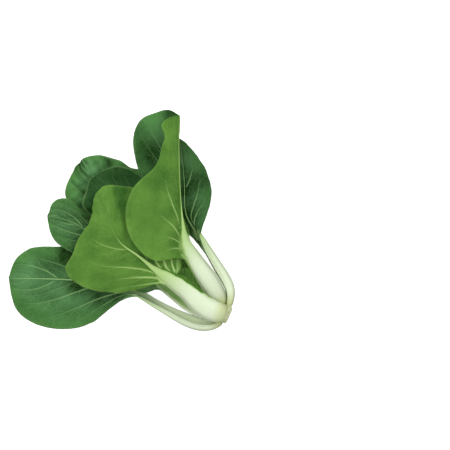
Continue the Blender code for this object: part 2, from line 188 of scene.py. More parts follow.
def half_leaf(leaf, side, sign, shares, spine, rib_columns, blade_columns):
    """Points from beside the spine out to one margin, and the swelling of the rib at each of them.

    The stalk and midrib lie square across the spine as a crescent. The blade leaves their edge smoothly,
    as a Bezier curve that ends at the margin.
    """
    middle, right, half = spine["middle"], sign * spine["right"], spine["half"]
    cup = spine["depth"] * spine["inner"]
    blade = np.clip((shares - side["start"]) / (1 - side["start"]), 0, 1)
    arch = (np.sin(math.pi * blade) ** ARCH_POWER)[:, None]
    margin = margin_points(leaf, side, middle + half * right + cup, shares, blade)

    rib = np.minimum(half, np.linalg.norm(margin - middle, axis=1, keepdims=True) * RIB_SHARE)
    rib_out = rib * np.arange(1, rib_columns + 1) / rib_columns
    rib_points = middle[:, None] + rib_out[..., None] * right[:, None]
    rib_points = rib_points + ((rib_out / half) ** 2)[..., None] * cup[:, None]

    rib_edge = rib_points[:, -1]
    reach = margin - rib_edge
    width = np.linalg.norm(reach, axis=1, keepdims=True)
    outward = np.sum(reach * right, axis=1, keepdims=True)
    facing = unit(np.cross(reach, spine["ahead"]) * sign)
    least = np.minimum(LEAVING_SHARE * width, side["turn"])
    on_stalk = 1 - rise(blade, 0.0, STALK_BLEND)[:, None]
    leaning = right + on_stalk * 2 * rib / half**2 * cup
    leaving = rib_edge + leaning * np.maximum(np.minimum(LEAVING_SHARE * outward, LEAVING_MOST), least)
    arriving = rib_edge + STRAIGHT_FROM * reach + facing * side["bulge"] * arch
    t = (np.arange(1, blade_columns + 1) / blade_columns)[None, :, None]
    shares_of = ((1 - t) ** 3, 3 * t * (1 - t) ** 2, 3 * t**2 * (1 - t), t**3)
    controls = (rib_edge, leaving, arriving, margin)
    blade_points = sum(share * point[:, None] for share, point in zip(shares_of, controls))

    waves, height, phase = side["waves"]
    ripple = height * np.sin(2 * math.pi * (waves * blade + phase))[:, None] * arch
    blade_points = blade_points + (facing * ripple)[:, None] * t**3
    from_rib = np.linalg.norm(blade_points - rib_edge[:, None], axis=2)
    distance = np.concatenate((rib_out, rib + from_rib), axis=1)
    swelling = spine["swell"] * np.clip(1 - (distance / half) ** 2, 0, 1)
    return np.concatenate((rib_points, blade_points), axis=1), swelling


def leaf_surface(leaf, shares, rib_columns, blade_columns):
    """The leaf's middle surface, one row of points for each share of the spine, and its two thicknesses.

    A row runs from the left margin over the spine to the right margin, as seen from above with the tip
    pointing away.
    """
    spine = leaf_frame(leaf, shares)
    given = (shares, spine, rib_columns, blade_columns)
    left, left_swelling = half_leaf(leaf, leaf["left"], -1, *given)
    right, right_swelling = half_leaf(leaf, leaf["right"], 1, *given)
    surface = np.concatenate((left[:, ::-1], spine["middle"][:, None], right), axis=1)
    swelling = np.concatenate((left_swelling[:, ::-1], spine["swell"], right_swelling), axis=1)
    past_stalk = rise(shares, STALK_THINS_FROM * leaf["neck"], leaf["neck"])
    sheet = STALK_EDGE_THICKNESS + (BLADE_THICKNESS - STALK_EDGE_THICKNESS) * past_stalk
    return surface, np.repeat(sheet[:, None], surface.shape[1], axis=1), swelling


def leaf_skins(surface, sheet, swelling, inner_side):
    """The upper and lower skins. The stalk and midrib swell out of the leaf's outer side only.

    Where the leaf lies on the table its underside is flat on it.
    """
    along = np.gradient(surface, axis=0)
    across = np.gradient(surface, axis=1)
    facing = unit(np.cross(across, along))
    half = sheet[..., None] / 2
    swelling = swelling[..., None]
    upper = surface + facing * (half + (swelling if inner_side < 0 else 0))
    lower = surface - facing * (half + (swelling if inner_side > 0 else 0))
    upper[..., 2] = np.maximum(upper[..., 2], TABLE_THICKNESS)
    lower[..., 2] = np.maximum(lower[..., 2], 0)
    return upper, lower


def row_shares(neck, stalk_rows, blade_rows):
    """The spine's shares at which a leaf has its rows of points, closer near the foot, neck and tip."""
    stalk = neck * np.linspace(0, 1, stalk_rows + 1) ** FOOT_CROWDING
    steps = np.linspace(0, 1, blade_rows + 1)
    closing = 0.5 - 0.5 * np.cos(math.pi * steps)
    blade = EVEN_ROWS * steps + (1 - EVEN_ROWS) * closing
    return np.concatenate((stalk, neck + (1 - neck) * blade[1:]))


def blade_half(start, bulge, turn, waves, *margin):
    """One half of a blade: the spine's share where it starts, its bulge, its waves and its margin.

    The turn is how far it runs on from the midrib's edge, at least, before it bends to the margin. Waves
    are their number, height and phase.
    """
    return dict(start=start, bulge=bulge, turn=turn, waves=waves, margin=margin)


# Points are in millimetres. Half widths, depths and swells of the stalk and midrib run from base to tip,
# and rolls are in degrees. The neck is the spine's share that is stalk. The inner side is a stalk's hollow
# one: 1 where it faces up, and -1 where it faces down.
FLAT = (0, 0, 0, 0, 0, 0, 0)
LEAVES = {
    "leaf_low_left": dict(
        spine=((88.5, -89, 13), (83, -92, 11), (72.4, -93.2, 9), (62, -90.5, 8), (51, -85.4, 8),
               (40, -79.4, 8), (28, -72.6, 8.5), (17, -66, 9), (0, -60.5, 9), (-29, -54.5, 9),
               (-65, -52, 7), (-101.5, -51.5, 3)),
        neck=0.38, inner_side=1, slot="leaf_upper",
        rolls=(70, 62, 58, 42, 8, 0, 0), half_widths=(5, 7, 4.4, 3.7, 2.2, 1.5, 0.5),
        depths=(1.5, 3, 2, 1.5, 0.8, 0.4, 0.1), swells=(3.5, 4.9, 4, 3.4, 1.8, 1, 0.2),
        left=blade_half(0.4, -1, 0, (3, 1.5, 0.1), (8.5, -68.2, 9), (-1, -71.7, 8),
            (-11, -79.2, 5.5), (-29, -92.5, 2), (-50, -97, 0.3), (-75, -94, 0.3), (-95, -79, 1)),
        right=blade_half(0.38, 2, 0, (3.5, 1.5, 0.3), (-2, -37, 11), (-29, -22, 11), (-57, -23, 8),
            (-83, -25, 4), (-97, -37, 2)),
    ),
    "leaf_front_left": dict(
        spine=((92, -82.6, 25), (83, -81, 26), (73, -75.7, 27), (60.1, -63.6, 29),
               (49.5, -55.4, 32), (38.4, -48.1, 35.5), (28, -41, 38.5), (12.6, -28.8, 42),
               (2.3, -21.6, 44), (-10.8, 0.9, 44), (-21, 25, 38)),
        neck=0.33, inner_side=-1, slot="leaf_under",
        rolls=(-6, -8, -6, -2, 4, 0, 0), half_widths=(8.5, 9.9, 8.6, 7.4, 2.9, 1.7, 0.5),
        depths=(1, 2.2, 2.4, 2.2, 1, 0.2, 0.1), swells=(2.6, 4, 4, 3.4, 1.8, 0.6, 0.1),
        left=blade_half(0.36, 3, 0, (3, 1.5, 0.2), (33, -56.2, 32), (26, -57, 31.5),
            (18, -60.5, 31), (8, -63, 30), (-15, -63.6, 28), (-36, -57, 26), (-50, -44, 26),
            (-44, -31, 28), (-38, -17, 31), (-28, -1, 33), (-25.5, 8, 34), (-24.5, 18, 35)),
        right=blade_half(0.34, 3, 0, (2.5, 1, 0.4), (53.2, -43, 29.5), (54, -37, 28.5),
            (52, -27, 28), (44, -12, 29), (30, 12, 30), (12, 29.5, 36), (0, 31, 37),
            (-13, 31.5, 37)),
    ),
    "leaf_front_right": dict(
        spine=((88, -74.8, 15), (85.2, -67, 17.5), (81, -58, 21.5), (73, -46, 26), (64, -32, 30),
               (58, -20, 33), (55, -8, 35), (53.5, 2, 36), (52, 19, 37), (51, 50, 37),
               (51, 74, 36), (52, 94, 32)),
        neck=0.33, inner_side=-1, slot="leaf_under",
        rolls=(0, 0, 0, 15, 60, 70, 50), half_widths=(8, 8.9, 7.7, 6.2, 2.4, 1.6, 0.5),
        depths=(2, 4, 3.8, 2.5, 1, 0.4, 0.1), swells=(2.5, 4.5, 4.6, 3.6, 2, 1.2, 0.2),
        left=blade_half(0.29, 3, 2, (3, 1, 0.2), (46, -33, 37), (34, -35.5, 44), (13.5, -22, 48),
            (4.5, 5, 50), (14, 32, 51), (33, 52, 48), (36.8, 67, 45), (39.3, 76.5, 42.5),
            (36.6, 84.5, 40.5), (44, 92, 37)),
        right=blade_half(0.36, 2, 2.5, (2.5, 1, 0.4), (58.5, -4, 30), (54, 6, 28), (45, 13.5, 27),
            (34.5, 22, 26), (25, 33, 25), (17, 42, 25), (13, 55, 25), (11, 67, 25), (12, 80, 25),
            (18, 91, 25.5), (31, 96.8, 27), (42, 99, 29)),
    ),
    "leaf_right": dict(
        spine=((95.6, -75, 14), (97, -65, 12), (94.4, -55.5, 11), (88.2, -45, 11), (81, -33, 12),
               (73.4, -20.2, 12.5), (66.5, -9, 12), (58.5, 4.5, 11), (56.5, 25, 10), (55, 50, 9),
               (52, 74, 7)),
        neck=0.38, inner_side=1, slot="leaf_upper",
        rolls=(-84, -86, -85, -77, -25, 0, 0), half_widths=(4.5, 5.4, 5.2, 4.4, 2.4, 1.5, 0.5),
        depths=(1.5, 3.2, 3, 2.2, 0.8, 0.4, 0.1), swells=(3, 4.6, 4.2, 3.4, 1.8, 1, 0.2),
        left=blade_half(0.31, 1, 0, (2.5, 1, 0.2), (70, -23, 12.5), (63.5, -14.5, 13.5),
            (56, -8, 13), (47, 3, 12), (38, 19, 8), (35, 39, 8), (38, 58, 8), (45, 70, 8)),
        right=blade_half(0.43, 1, 0, (3, 1, 0.4), (71.4, -8.5, 16.5), (75.3, 2, 11),
            (78.8, 14, 4.5), (80.5, 26, 1), (78.8, 39, 0.3), (71, 53, 1), (60, 68, 3)),
    ),
    "leaf_mid_left": dict(
        spine=((86, -82, 7.5), (76, -83.2, 6.5), (66, -79.6, 6.5), (51.6, -69, 8), (36.5, -57, 11),
               (14, -41, 15), (-6, -26, 18), (-29, -10, 19), (-42, -2, 18), (-66.5, 5, 13)),
        neck=0.36, inner_side=1, slot="leaf_upper",
        rolls=(10, 5, 1, 0, 0, 0, 0), half_widths=(2, 5.2, 5.4, 4.6, 3, 1.6, 0.5),
        depths=(0.5, 1.5, 1.8, 1.5, 0.8, 0.4, 0.1), swells=(2.5, 3.6, 3.6, 3, 2, 1.2, 0.2),
        left=blade_half(0.31, -1, 0, (3, 1, 0.2), (32, -61.2, 12), (24, -64, 13), (12, -62, 15),
            (-11, -52, 17), (-33, -37, 18), (-45, -28, 17), (-61, -16, 15), (-65, -6, 14)),
        right=blade_half(0.38, 1, 0, (2.5, 1, 0.4), (11, -25, 16), (-4, -15, 18), (-17, -7, 19),
            (-28, 1, 19), (-37, 11, 19), (-47, 19.5, 18), (-58, 19, 16)),
    ),
    "leaf_upper_left": dict(
        spine=((87, -77, 6), (70, -68, 4.2), (43, -43, 4.2), (25, -22, 5), (3, 5.5, 5.5),
               (-20, 32, 5), (-36, 55, 2)),
        neck=0.38, inner_side=1, slot="leaf_upper",
        rolls=FLAT, half_widths=(2, 4.2, 4.8, 4.2, 3, 1.6, 0.5),
        depths=(0.5, 1.5, 1.4, 1, 0.8, 0.4, 0.1), swells=(2.5, 3.5, 3.6, 3, 2, 1.2, 0.2),
        left=blade_half(0.38, 1, 0, (3, 1, 0.2), (4, -16, 7), (-24, -3, 6), (-42, 10, 4),
            (-51, 24, 1.5), (-47, 39, 0.3), (-41, 50, 0.5)),
        right=blade_half(0.38, 1, 0, (2.5, 1, 0.4), (30, -8, 8), (31, 14, 8), (26, 33, 7),
            (17, 46, 6.5), (8, 48, 6), (0, 53.5, 5), (-9, 56.5, 4), (-23, 59.5, 2)),
    ),
    "leaf_shaded": dict(
        spine=((90.5, -73, 8), (76, -60, 7.2), (54, -38, 9.5), (36, -17, 13), (17, 3, 16),
               (-4, 23, 17), (-22, 41, 15)),
        neck=0.38, inner_side=1, slot="leaf_upper",
        rolls=FLAT, half_widths=(2, 3.8, 4.2, 3.6, 2.4, 1.4, 0.5),
        depths=(0.5, 1.2, 1.3, 1, 0.6, 0.3, 0.1), swells=(2.5, 3, 3.1, 2.6, 1.6, 1, 0.2),
        left=blade_half(0.38, 1, 0, (3, 1, 0.2), (15, -14, 15), (-8, -4, 15), (-25, 4, 15),
            (-35, 14, 14), (-32, 26, 14), (-28, 37, 14)),
        right=blade_half(0.38, 1, 0, (2.5, 1, 0.4), (39, -4, 14), (34, 19, 15), (26, 33, 15),
            (17, 41, 14), (4, 48, 14), (-8, 48.5, 14)),
    ),
    "leaf_heart_left": dict(
        spine=((77, -75, 13), (69, -66, 14.2), (62, -54, 16.5), (55, -42, 19)),
        neck=0.3, inner_side=1, slot="leaf_upper",
        rolls=FLAT, half_widths=(1.5, 2.2, 2.2, 1.8, 1.2, 0.7, 0.4),
        depths=(0.3, 0.5, 0.5, 0.5, 0.4, 0.2, 0.1), swells=(1.5, 1.6, 1.5, 1.3, 0.8, 0.5, 0.2),
        left=blade_half(0.3, 0.2, 2, (2, 0.3, 0.2), (62, -66, 16.5), (53, -56, 18.5),
            (50, -46, 20)),
        right=blade_half(0.3, 0.2, 2, (2, 0.3, 0.4), (71, -58, 15.5), (66, -49, 16.5),
            (60, -42, 18.5)),
    ),
    "leaf_heart_right": dict(
        spine=((81.5, -73.5, 10.8), (74.8, -63.5, 11.6), (68, -50, 13.5), (58, -31, 17)),
        neck=0.3, inner_side=1, slot="leaf_upper",
        rolls=FLAT, half_widths=(1.4, 2.6, 2.7, 2.2, 1.2, 0.7, 0.4),
        depths=(0.2, 0.3, 0.3, 0.3, 0.3, 0.2, 0.1), swells=(0.6, 0.9, 1, 0.9, 0.8, 0.5, 0.2),
        left=blade_half(0.3, 0.2, 2, (2, 0.3, 0.2), (69, -60, 12), (59, -48, 13.5),
            (53, -36, 15.5)),
        right=blade_half(0.3, 0.2, 2, (2, 0.3, 0.4), (78, -55, 12.5), (74, -43, 14.5),
            (66, -33, 16.5)),
    ),
}


def daylight(red, green, blue):
    """A colour as it looks in daylight, from 0 to 255, as the linear values that a shader takes.

    The numbers are those of the usual curve for screens.
    """
    shares = (red / 255, green / 255, blue / 255)
    return tuple(s / 12.92 if s < 0.04045 else ((s + 0.055) / 1.055) ** 2.4 for s in shares) + (1.0,)


UPPER_DEEP = daylight(22, 60, 14)
UPPER_BRIGHT = daylight(87, 137, 84)
UPPER_MARGIN = daylight(68, 124, 40)
YOUNG_DEEP = daylight(52, 100, 28)
YOUNG_BRIGHT = daylight(118, 174, 78)
UNDER_DEEP = daylight(48, 94, 30)
UNDER_BRIGHT = daylight(112, 158, 66)
UNDER_MARGIN = daylight(100, 148, 56)
VEIN_UPPER = daylight(146, 188, 120)
VEIN_UNDER = daylight(170, 204, 122)
CHANNEL_GREEN = daylight(98, 164, 52)
CHANNEL_PALE = daylight(216, 228, 146)
STALK_WHITE = daylight(229, 240, 213)
STALK_SHADE = daylight(219, 233, 199)
STALK_FOOT = daylight(196, 206, 148)
# Painted shade for a stalk's sides as they turn away from the eye
STALK_SIDE_SHADE = daylight(140, 152, 118)
STEM_CUT = daylight(196, 198, 150)
STEM_SKIN = daylight(178, 188, 136)
STEM_PALE = daylight(206, 212, 172)
STEM_RING = daylight(182, 176, 126)
STEM_SPECK = daylight(128, 116, 72)

# Half the width of the thinnest vein in millimetres, how much a full one adds, and half a twig's width
VEIN_LEAST = 0.3
VEIN_GROWTH = 1.0
TWIG_WIDTH = 0.4

# The blade's patterns, in repeats to a metre: the net, what bends it, the soft patches and the grain
NET_SCALE = 260.0
NET_BEND_SCALE = 120.0
PATCH_SCALE = 45.0
GRAIN_SCALE = 1400.0

# How far the net is bent, in metres, and how wide its lines are beside its cells
NET_BEND = 0.006
NET_LINE = 0.16

# The noise over which a soft patch goes from deep to bright, and what that adds to tone and to roughness
PATCH_RANGE = (0.32, 0.68)
PATCH_SHARE = 0.3
PATCH_ROUGHNESS = 0.12

# A stalk's fibres: repeats to a millimetre across it, how much slower they change along it, and the noise
# over which they go from shade to white
FIBRE_SCALE = 1.5
FIBRE_SLOWING = 0.035
FIBRE_RANGE = (0.3, 0.75)

# How far a stalk's side has turned away from the eye where its painted shade starts and where it is full
TURNED_RANGE = (0.1, 0.65)

# The midrib's soft edge in half widths, and the strengths of midrib over which green pales and turns white
RIB_EDGE = (0.75, 1.25)
RIB_PALING = (0.0, 0.6)
RIB_WHITENING = (0.3, 1.0)

# How far the grain stands up, and how many times as far as the net the twigs do
GRAIN_HEIGHT = 0.2
TWIG_HEIGHT = 2

# Strength of the bumps, and their height in metres
LEAF_BUMP = (0.3, 0.0005)
STEM_BUMP = (0.5, 0.0008)

# The stem's patterns in repeats to a metre, and the noise over which its skin goes from deep to pale
STEM_PATCH_SCALE = 260.0
STEM_GRAIN_SCALE = 1600.0
STEM_PATCH_RANGE = (0.35, 0.65)

# The noise over which specks show, and how dark they get
SPECK_RANGE = (0.55, 0.8)
SPECK_SHARE = 0.4

# Half the distance from one ring of the cut to the next, in millimetres, and how dark the rings are
HALF_RING = 1.1
RING_SHARE = 0.35

# What is the same all over a leaf: light goes a little way in, and there is hardly any gloss
LEAF_TISSUE = {
    "Subsurface Weight": 0.1,
    "Subsurface Radius": (0.6, 1.0, 0.3),
    "Subsurface Scale": 0.0015,
    "Specular IOR Level": 0.05,
}


def node_group(name, inputs, outputs):
    """An empty shader node group with named numbers, as its tree, what it is given and what it puts out."""
    tree = bpy.data.node_groups.new(name, "ShaderNodeTree")
    for word, value in inputs.items():
        socket = tree.interface.new_socket(word, in_out="INPUT", socket_type="NodeSocketFloat")
        socket.default_value = value
    for word in outputs:
        tree.interface.new_socket(word, in_out="OUTPUT", socket_type="NodeSocketFloat")
    return tree, tree.nodes.new("NodeGroupInput").outputs, tree.nodes.new("NodeGroupOutput").inputs


def connect(tree, source, target):
    """Feeds a shader input from another node's output, or sets it to a plain value."""
    if isinstance(source, bpy.types.NodeSocket):
        tree.links.new(source, target)
    else:
        target.default_value = source


def arithmetic(tree, operation, *values):
    node = tree.nodes.new("ShaderNodeMath")
    node.operation = operation
    for value, target in zip(values, node.inputs):
        connect(tree, value, target)
    return node.outputs[0]


def product(tree, first, second):
    return arithmetic(tree, "MULTIPLY", first, second)


def fade(tree, value, start, end, low=0.0, high=1.0):
    """The value mapped smoothly from start..end to low..high."""
    node = tree.nodes.new("ShaderNodeMapRange")
    node.interpolation_type = "SMOOTHSTEP"
    words = ("Value", "From Min", "From Max", "To Min", "To Max")
    for source, word in zip((value, start, end, low, high), words):
        connect(tree, source, node.inputs[word])
    return node.outputs["Result"]


def blend_colours(tree, share, first, second):
    node = tree.nodes.new("ShaderNodeMix")
    node.data_type = "RGBA"
    connect(tree, share, node.inputs["Factor"])
    connect(tree, first, node.inputs["A"])
    connect(tree, second, node.inputs["B"])
    return node.outputs["Result"]


def attribute(tree, name):
    node = tree.nodes.new("ShaderNodeAttribute")
    node.attribute_name = name
    return node.outputs["Fac"]


def noise(tree, place, scale, detail, roughness=0.5):
    """The outputs of a noise texture at the given place."""
    node = tree.nodes.new("ShaderNodeTexNoise")
    connect(tree, place, node.inputs["Vector"])
    connect(tree, scale, node.inputs["Scale"])
    node.inputs["Detail"].default_value = detail
    node.inputs["Roughness"].default_value = roughness
    return node.outputs


def bump_surface(tree, shader, height, strength, distance):
    """Lets a height show as bumps, with their strength and their height in metres."""
    bump = tree.nodes.new("ShaderNodeBump")
    bump.inputs["Strength"].default_value = strength
    bump.inputs["Distance"].default_value = distance
    connect(tree, height, bump.inputs["Height"])
    connect(tree, bump.outputs["Normal"], shader.inputs["Normal"])


def vein_lines_group():
    """Lines where a rising number passes whole values, as wide in millimetres as asked."""
    tree, given, result = node_group("vein lines", {"Place": 0.0, "Gap": 10.0, "Width": 0.5}, ("Line",))
    from_line = arithmetic(tree, "PINGPONG", given["Place"], 0.5)
    distance = product(tree, from_line, given["Gap"])
    connect(tree, fade(tree, distance, 0.0, given["Width"], 1.0, 0.0), result["Line"])
    return tree


def leaf_net_group():
    """The fine net between a leaf's veins, soft patches of deeper and lighter green, and a fine grain."""
    tree, given, result = node_group(
        "leaf net", {"Net scale": NET_SCALE, "Patch scale": PATCH_SCALE}, ("Net", "Patches", "Grain"))
    place = tree.nodes.new("ShaderNodeTexCoord").outputs["Object"]
    bent = tree.nodes.new("ShaderNodeVectorMath")
    bent.operation = "MULTIPLY_ADD"
    connect(tree, noise(tree, place, NET_BEND_SCALE, detail=2.0)["Color"], bent.inputs[0])
    bent.inputs[1].default_value = (NET_BEND,) * 3
    connect(tree, place, bent.inputs[2])
    cells = tree.nodes.new("ShaderNodeTexVoronoi")
    cells.feature = "DISTANCE_TO_EDGE"
    connect(tree, bent.outputs[0], cells.inputs["Vector"])
    connect(tree, given["Net scale"], cells.inputs["Scale"])
    connect(tree, fade(tree, cells.outputs["Distance"], 0.0, NET_LINE, 1.0, 0.0), result["Net"])
    patches = noise(tree, place, given["Patch scale"], detail=3.0)["Fac"]
    connect(tree, fade(tree, patches, *PATCH_RANGE), result["Patches"])
    connect(tree, noise(tree, place, GRAIN_SCALE, detail=2.0)["Fac"], result["Grain"])
    return tree


def stalk_fibres_group():
    """Long fine fibres that run up a stalk, from its own across and along measures in millimetres."""
    tree, given, result = node_group("stalk fibres", {"Across": 0.0, "Along": 0.0}, ("Fibres",))
    place = tree.nodes.new("ShaderNodeCombineXYZ")
    connect(tree, given["Across"], place.inputs["X"])
    connect(tree, product(tree, given["Along"], FIBRE_SLOWING), place.inputs["Y"])
    fibres = noise(tree, place.outputs[0], FIBRE_SCALE, detail=4.0, roughness=0.6)["Fac"]
    connect(tree, fibres, result["Fibres"])
    return tree


VEIN_LINES = vein_lines_group()
LEAF_NET = leaf_net_group()
STALK_FIBRES = stalk_fibres_group()


def placed(tree, group, **values):
    """The outputs of a node group placed in a material, with its inputs fed or set."""
    node = tree.nodes.new("ShaderNodeGroup")
    node.node_tree = group
    for word, value in values.items():
        connect(tree, value, node.inputs[word])
    return node.outputs


def blank_material(name, plain_values):
    """A material with the values that are the same all over it, its node tree and its shader."""
    material = bpy.data.materials.new(name)
    material.use_nodes = True
    shader = material.node_tree.nodes["Principled BSDF"]
    for word, value in plain_values.items():
        shader.inputs[word].default_value = value
    return material, material.node_tree, shader


def leaf_material(name, greens, vein, vein_share, channel_share, side_shade, net_height, roughness):
    """One side of a leaf: green blade, pale veins and net, and the white stalk that runs up into them.

    Its greens are deep, bright and at the margin. The shares are how pale its veins are and how green its
    stalk's channel is, and side_shade how dark the painted shade on the stalk's turned-away sides is. Below
    0 the net lies sunken.
    """
    deep, bright, margin = greens
    material, tree, shader = blank_material(name, LEAF_TISSUE)
    across = attribute(tree, "across_mm")
    net = placed(tree, LEAF_NET)
    fibres = placed(tree, STALK_FIBRES, Across=across, Along=attribute(tree, "along_mm"))["Fibres"]
    reach = attribute(tree, "vein_reach")
    line = placed(tree, VEIN_LINES, Place=attribute(tree, "vein_place"), Gap=attribute(tree, "vein_gap"),
                  Width=arithmetic(tree, "MULTIPLY_ADD", reach, VEIN_GROWTH, VEIN_LEAST))["Line"]
    twig = placed(tree, VEIN_LINES, Place=attribute(tree, "twig_place"), Gap=attribute(tree, "twig_gap"),
                  Width=TWIG_WIDTH)["Line"]
    twig = product(tree, twig, attribute(tree, "twig_reach"))

    # The tone attribute brings the painted light and shade of the spots and creases into the green
    patches = arithmetic(tree, "MULTIPLY_ADD", net["Patches"], PATCH_SHARE, attribute(tree, "tone"))
    green = blend_colours(tree, patches, deep, bright)
    green = blend_colours(tree, attribute(tree, "margin"), green, margin)
    pale_marks = (
        product(tree, net["Net"], attribute(tree, "net_share")),
        product(tree, twig, vein_share),
        product(tree, line, product(tree, reach, vein_share)),
        attribute(tree, "edge"),
    )
    for share in pale_marks:
        green = blend_colours(tree, share, green, vein)

    stalk = blend_colours(tree, fade(tree, fibres, *FIBRE_RANGE), STALK_SHADE, STALK_WHITE)
    stalk = blend_colours(tree, attribute(tree, "foot"), stalk, STALK_FOOT)
    channel = product(tree, attribute(tree, "channel"), channel_share)
    stalk = blend_colours(tree, channel, stalk, blend_colours(tree, channel, CHANNEL_PALE, CHANNEL_GREEN))
    # Painted shade: the stalk's colour darkens where its sides turn away from the eye
    facing = tree.nodes.new("ShaderNodeLayerWeight").outputs["Facing"]
    stalk = blend_colours(tree, fade(tree, facing, *TURNED_RANGE, 0.0, side_shade), stalk, STALK_SIDE_SHADE)
    stalk = blend_colours(tree, attribute(tree, "rib_tint"), stalk, vein)

    away = arithmetic(tree, "DIVIDE", arithmetic(tree, "ABSOLUTE", across), attribute(tree, "rib_width"))
    rib = product(tree, fade(tree, away, *RIB_EDGE, 1.0, 0.0), attribute(tree, "rib_share"))
    rib = arithmetic(tree, "MAXIMUM", rib, attribute(tree, "white"))
    green = blend_colours(tree, fade(tree, rib, *RIB_PALING), green, vein)
    colour = blend_colours(tree, fade(tree, rib, *RIB_WHITENING), green, stalk)
    connect(tree, colour, shader.inputs["Base Color"])
    rough = fade(tree, net["Patches"], 0.0, 1.0, roughness, roughness + PATCH_ROUGHNESS)
    connect(tree, rough, shader.inputs["Roughness"])

    height = product(tree, net["Net"], net_height)
    for pattern, share in ((net["Grain"], GRAIN_HEIGHT), (twig, TWIG_HEIGHT * net_height), (fibres, rib)):
        height = arithmetic(tree, "MULTIPLY_ADD", pattern, share, height)
    bump_surface(tree, shader, height, *LEAF_BUMP)
    return material


def stem_material():
    """The stem's rough skin and its paler cut face, with rings that follow the cut."""
    material, tree, shader = blank_material("stem_tissue", {"Roughness": 0.62})
    place = tree.nodes.new("ShaderNodeTexCoord").outputs["Object"]
    coarse = noise(tree, place, STEM_PATCH_SCALE, detail=4.0)["Fac"]
    grain = noise(tree, place, STEM_GRAIN_SCALE, detail=3.0)["Fac"]
    from_ring = arithmetic(tree, "PINGPONG", attribute(tree, "from_axis_mm"), HALF_RING)
    rings = product(tree, fade(tree, from_ring, 0.0, HALF_RING), RING_SHARE)
    cut = blend_colours(tree, rings, STEM_CUT, STEM_RING)
    skin = blend_colours(tree, fade(tree, coarse, *STEM_PATCH_RANGE), STEM_SKIN, STEM_PALE)
    colour = blend_colours(tree, attribute(tree, "on_cut"), skin, cut)
    specks = fade(tree, grain, *SPECK_RANGE, 0.0, SPECK_SHARE)
    connect(tree, blend_colours(tree, specks, colour, STEM_SPECK), shader.inputs["Base Color"])
    bump_surface(tree, shader, arithmetic(tree, "ADD", coarse, grain), *STEM_BUMP)
    return material


UPPER_SIDE = leaf_material(
    "leaf_upper_side", (UPPER_DEEP, UPPER_BRIGHT, UPPER_MARGIN), VEIN_UPPER, vein_share=0.9,
    channel_share=1.0, side_shade=0.1, net_height=-0.6, roughness=0.42)
UNDERSIDE = leaf_material(
    "leaf_underside", (UNDER_DEEP, UNDER_BRIGHT, UNDER_MARGIN), VEIN_UNDER, vein_share=0.8,
    channel_share=0.0, side_shade=0.55, net_height=0.6, roughness=0.5)
YOUNG_SIDE = leaf_material(
    "leaf_young_side", (YOUNG_DEEP, YOUNG_BRIGHT, UNDER_BRIGHT), VEIN_UNDER, vein_share=0.9,
    channel_share=1.0, side_shade=0.1, net_height=-0.6, roughness=0.42)
STEM_TISSUE = stem_material()

# The places along a half blade, as shares, where a look's rib values count, and the midrib's width there
# as a share of its shape's width
RIB_PLACES = (0, 0.15, 0.36, 0.6, 1)
RIB_NARROWING = (1.0, 0.7, 0.42, 0.36, 0.3)

# How each leaf is marked.
# Tone is how bright its green is, from 0 to 1. A spot of painted light or painted shade is a place in the
# table's plane, its reach in millimetres, and how much brighter (painted light) or deeper (painted shade,
# as under the leaves above) the green is there.
# Channel is how green the stalk's inner side is, and how far out from its middle, in half widths. Rims
# are how much the blade's green covers the stalk's left and right edges.
# Edge is how pale the margin is, net how much the fine net shows, and pucker how far the blade bulges
# between its veins. Rib is how much the midrib shows, slim its width as a share of the usual one, and web
# how much white there is beside it where the blade starts.
# A vein of the left or right half leaves the midrib at its first share of the half blade, meets the margin
# at its second, and shows as strongly as its third. Its fourth value, where it has one, is the share of
# the way out at which it has faded. Twigs is how many fine twigs there are along a half blade. Crease
# shade is painted shade: how much the veins show as dark, shaded folds and not as pale lines.
COMMON = dict(rims=(0, 0), slim=1, web=1, twigs=15, crease_shade=0)
LONG_VEIN = 1.2
FAINT_VEINS = ((0.1, 0.4, 0.1), (0.3, 0.6, 0.1), (0.5, 0.78, 0.1), (0.7, 0.92, 0.1))
HEART = dict(
    COMMON, channel=(0.8, 1), edge=0.3, net=0.12, pucker=1.3, twigs=5, rib=(0.6, 0.4, 0.3, 0.3, 0.2),
    left=((0.05, 0.4, 1.3), (0.3, 0.7, 1.3), (0.6, 0.9, 1.2)),
    right=((0.1, 0.5, 1.3), (0.35, 0.75, 1.3), (0.65, 0.92, 1.2)),
    painted_shade_and_light=(),
)
